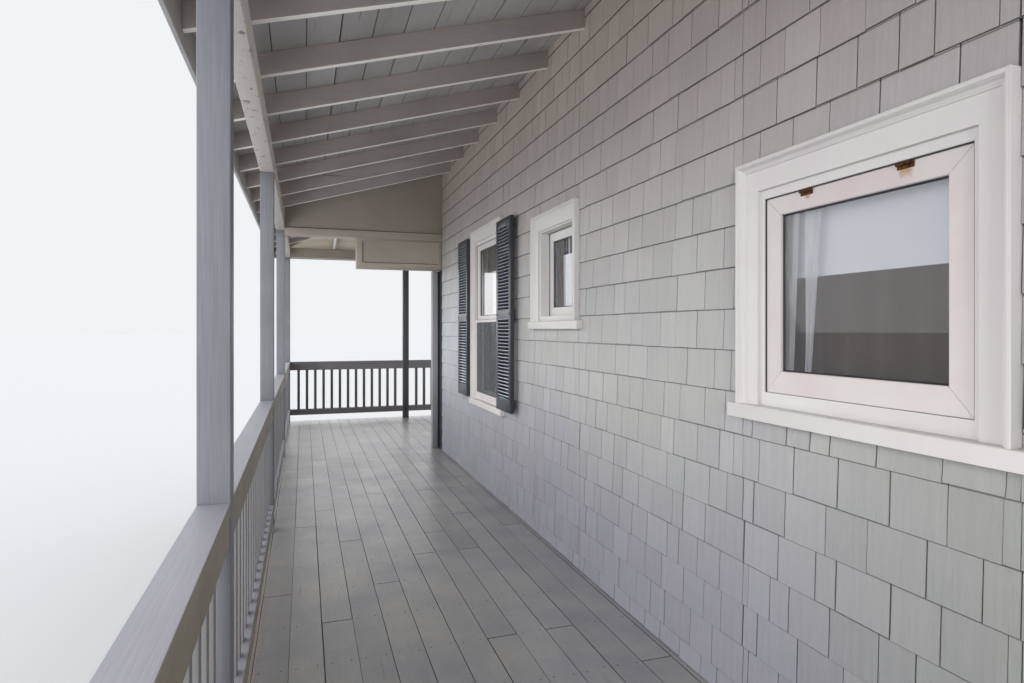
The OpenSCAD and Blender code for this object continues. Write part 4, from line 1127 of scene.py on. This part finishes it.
hip_foot = Vector(
    (roof_low[0] + FROM_EAVE, CORNER_Y + (WALL_X - roof_low[0] - FROM_EAVE) * ratio, 0))
hip_foot.z = side_low[2] + ROOF_T + (hip_foot.x - side_low[0]) * tan(side_pitch)
hip_run, cap_step = WALL_X - FROM_WALL - hip_foot.x, EXPOSURE / plan
spots = [(hip_foot + Vector((1, -ratio, tan(side_pitch))) * cap_step * i, (1, 1, 1), (0, 0, 0))
         for i in range(int((hip_run - LAST_CAP) / cap_step) + 1)]
eave_lines = [((side_low[0] - EAVE_DRIP, 0, 0), (-1, 0, 0)), ((0, front_high[1] + EAVE_DRIP, 0), (0, 1, 0))]
lay("hip_caps", cap_piece, spots, roof_shingle, "roof_shingle", 35, (), (0, 0, 0.4), eave_lines)

# %% Flashing
LEAD_LENGTH, LEAD_LAP, LEAD_UP, LEAD_OUT, LEAD_RUN = 1.2, 0.05, 0.055, 0.11, 0.108

lead, add, where = start("lead_flashing_dull")
cloud = add("TexNoise", {"Vector": where, "Scale": 6.0, "Detail": 6.0})
dress(lead, coats(add, "#85888b", ("#6c6f73", cloud, 0, 1)), 0.6, cloud, 0.4, 0.003, Metallic=0.35)
bm = bmesh.new()
top = side_low[2] + ROOF_T + (WALL_X - side_low[0]) * tan(side_pitch)
for side, pitch, begin, end in ((SIDE, side_pitch, side_low[1] + 0.002, CORNER_Y - 0.001),
                                (FRONT, front_pitch, WALL_X + 0.001, front_high[0] - 0.002)):
    count = ceil((end - begin) / LEAD_LENGTH)
    for i in range(count):
        a, b = [begin + (end - begin) * k / count for k in (i, i + 1)]
        b += LEAD_LAP if i < count - 1 else 0
        lift = 0.003 + 0.0015 * (i % 2)
        drop = lift - LEAD_RUN * tan(pitch)
        shape = [(0.001, LEAD_UP), (0.003 + lift, LEAD_UP), (0.003 + lift, lift + 0.002), (LEAD_OUT, drop),
                 (LEAD_OUT, drop - 0.004), (0.001, -0.002)]
        prism(bm, [[bm.verts.new((WALL_X - out, at, top + z) if side else (at, CORNER_Y + out, top + z))
                    for out, z in shape] for at in (a, b)])
finish_piece(new_object("lead_flashing", bm, lead), "roof_shingle")

# %% [markdown]
# ## Studio
# The ground is a plain pale floor. The world is an even soft light, and a very
# wide lamp on the open side gives the shade its direction, as open sky does.
# Two weaker ones shine along the porch from its ends, and one that lies on the
# floor sends light up under the roof, as pale ground does. The camera and every
# reflection see a near-white backdrop.

# %% Floor and world
HALF = 400

mesh = bpy.data.meshes.new("floor")
mesh.from_pydata([(-HALF, -HALF, 0), (HALF, -HALF, 0), (HALF, HALF, 0), (-HALF, HALF, 0)], [], [(0, 1, 2, 3)])
floor = link("floor", mesh)
floor_finish, _, _ = start("studio_floor_pale")
feed(shader_of(floor_finish), {"Base Color": "#cfd0d2", "Roughness": 0.9})
mesh.materials.append(floor_finish)

world = bpy.data.worlds.new("studio")
bpy.context.scene.world = world
world.use_nodes = True
world.node_tree.nodes.clear()
add = partial(put, world.node_tree)
light = add("Background", {"Color": "#f6f6f8", "Strength": 1.22})
shown = add("Background", {"Color": "#f1f3f5", "Strength": 1.0})
path = add("LightPath", out=None).outputs
seen = add("Math MAXIMUM", [path["Is Camera Ray"], path["Is Glossy Ray"]])
seen = add("Math MAXIMUM", [seen, path["Is Transmission Ray"]])
add("OutputWorld", [add("MixShader", [seen, light, shown])], None)
print("floor and world ready")

# %% Lamps
def soft_sun(name, side, wide, power, mirrored=True):
    """Light from one side of the sky, as wide as a bank of cloud. Glass needn't mirror it."""
    data = bpy.data.lights.new(name, "SUN")
    data.angle, data.energy = radians(wide), power
    lamp = link(name, data)
    lamp.rotation_euler = Vector([-c for c in side]).to_track_quat("-Z", "Y").to_euler()
    lamp.visible_glossy = mirrored


soft_sun("open_side_light", (-1.0, 0.25, 0.2), 70, 2.0, False)
soft_sun("far_end_light", (-0.2, 1.0, 0.3), 60, 0.6)
soft_sun("near_end_light", (-0.36, -0.93, 0.08), 16, 1.15, False)
bounce = bpy.data.lights.new("ground_bounce", "AREA")
bounce.size, bounce.energy = 6.0, 215.0
bounce_lamp = link("ground_bounce", bounce)
bounce_lamp.location, bounce_lamp.rotation_euler = (-7.5, -2.0, 0.05), (pi, 0, 0)
bounce_lamp.visible_camera = bounce_lamp.visible_glossy = False
bpy.context.scene.view_settings.view_transform = "Standard"
print("lamps ready")

# %% Clear away the stock pieces and finish
for obj in (board_piece, deck_piece, rail_piece, bar_piece, shingle_piece, roof_piece, nail_piece, cap_piece):
    bpy.data.objects.remove(obj)
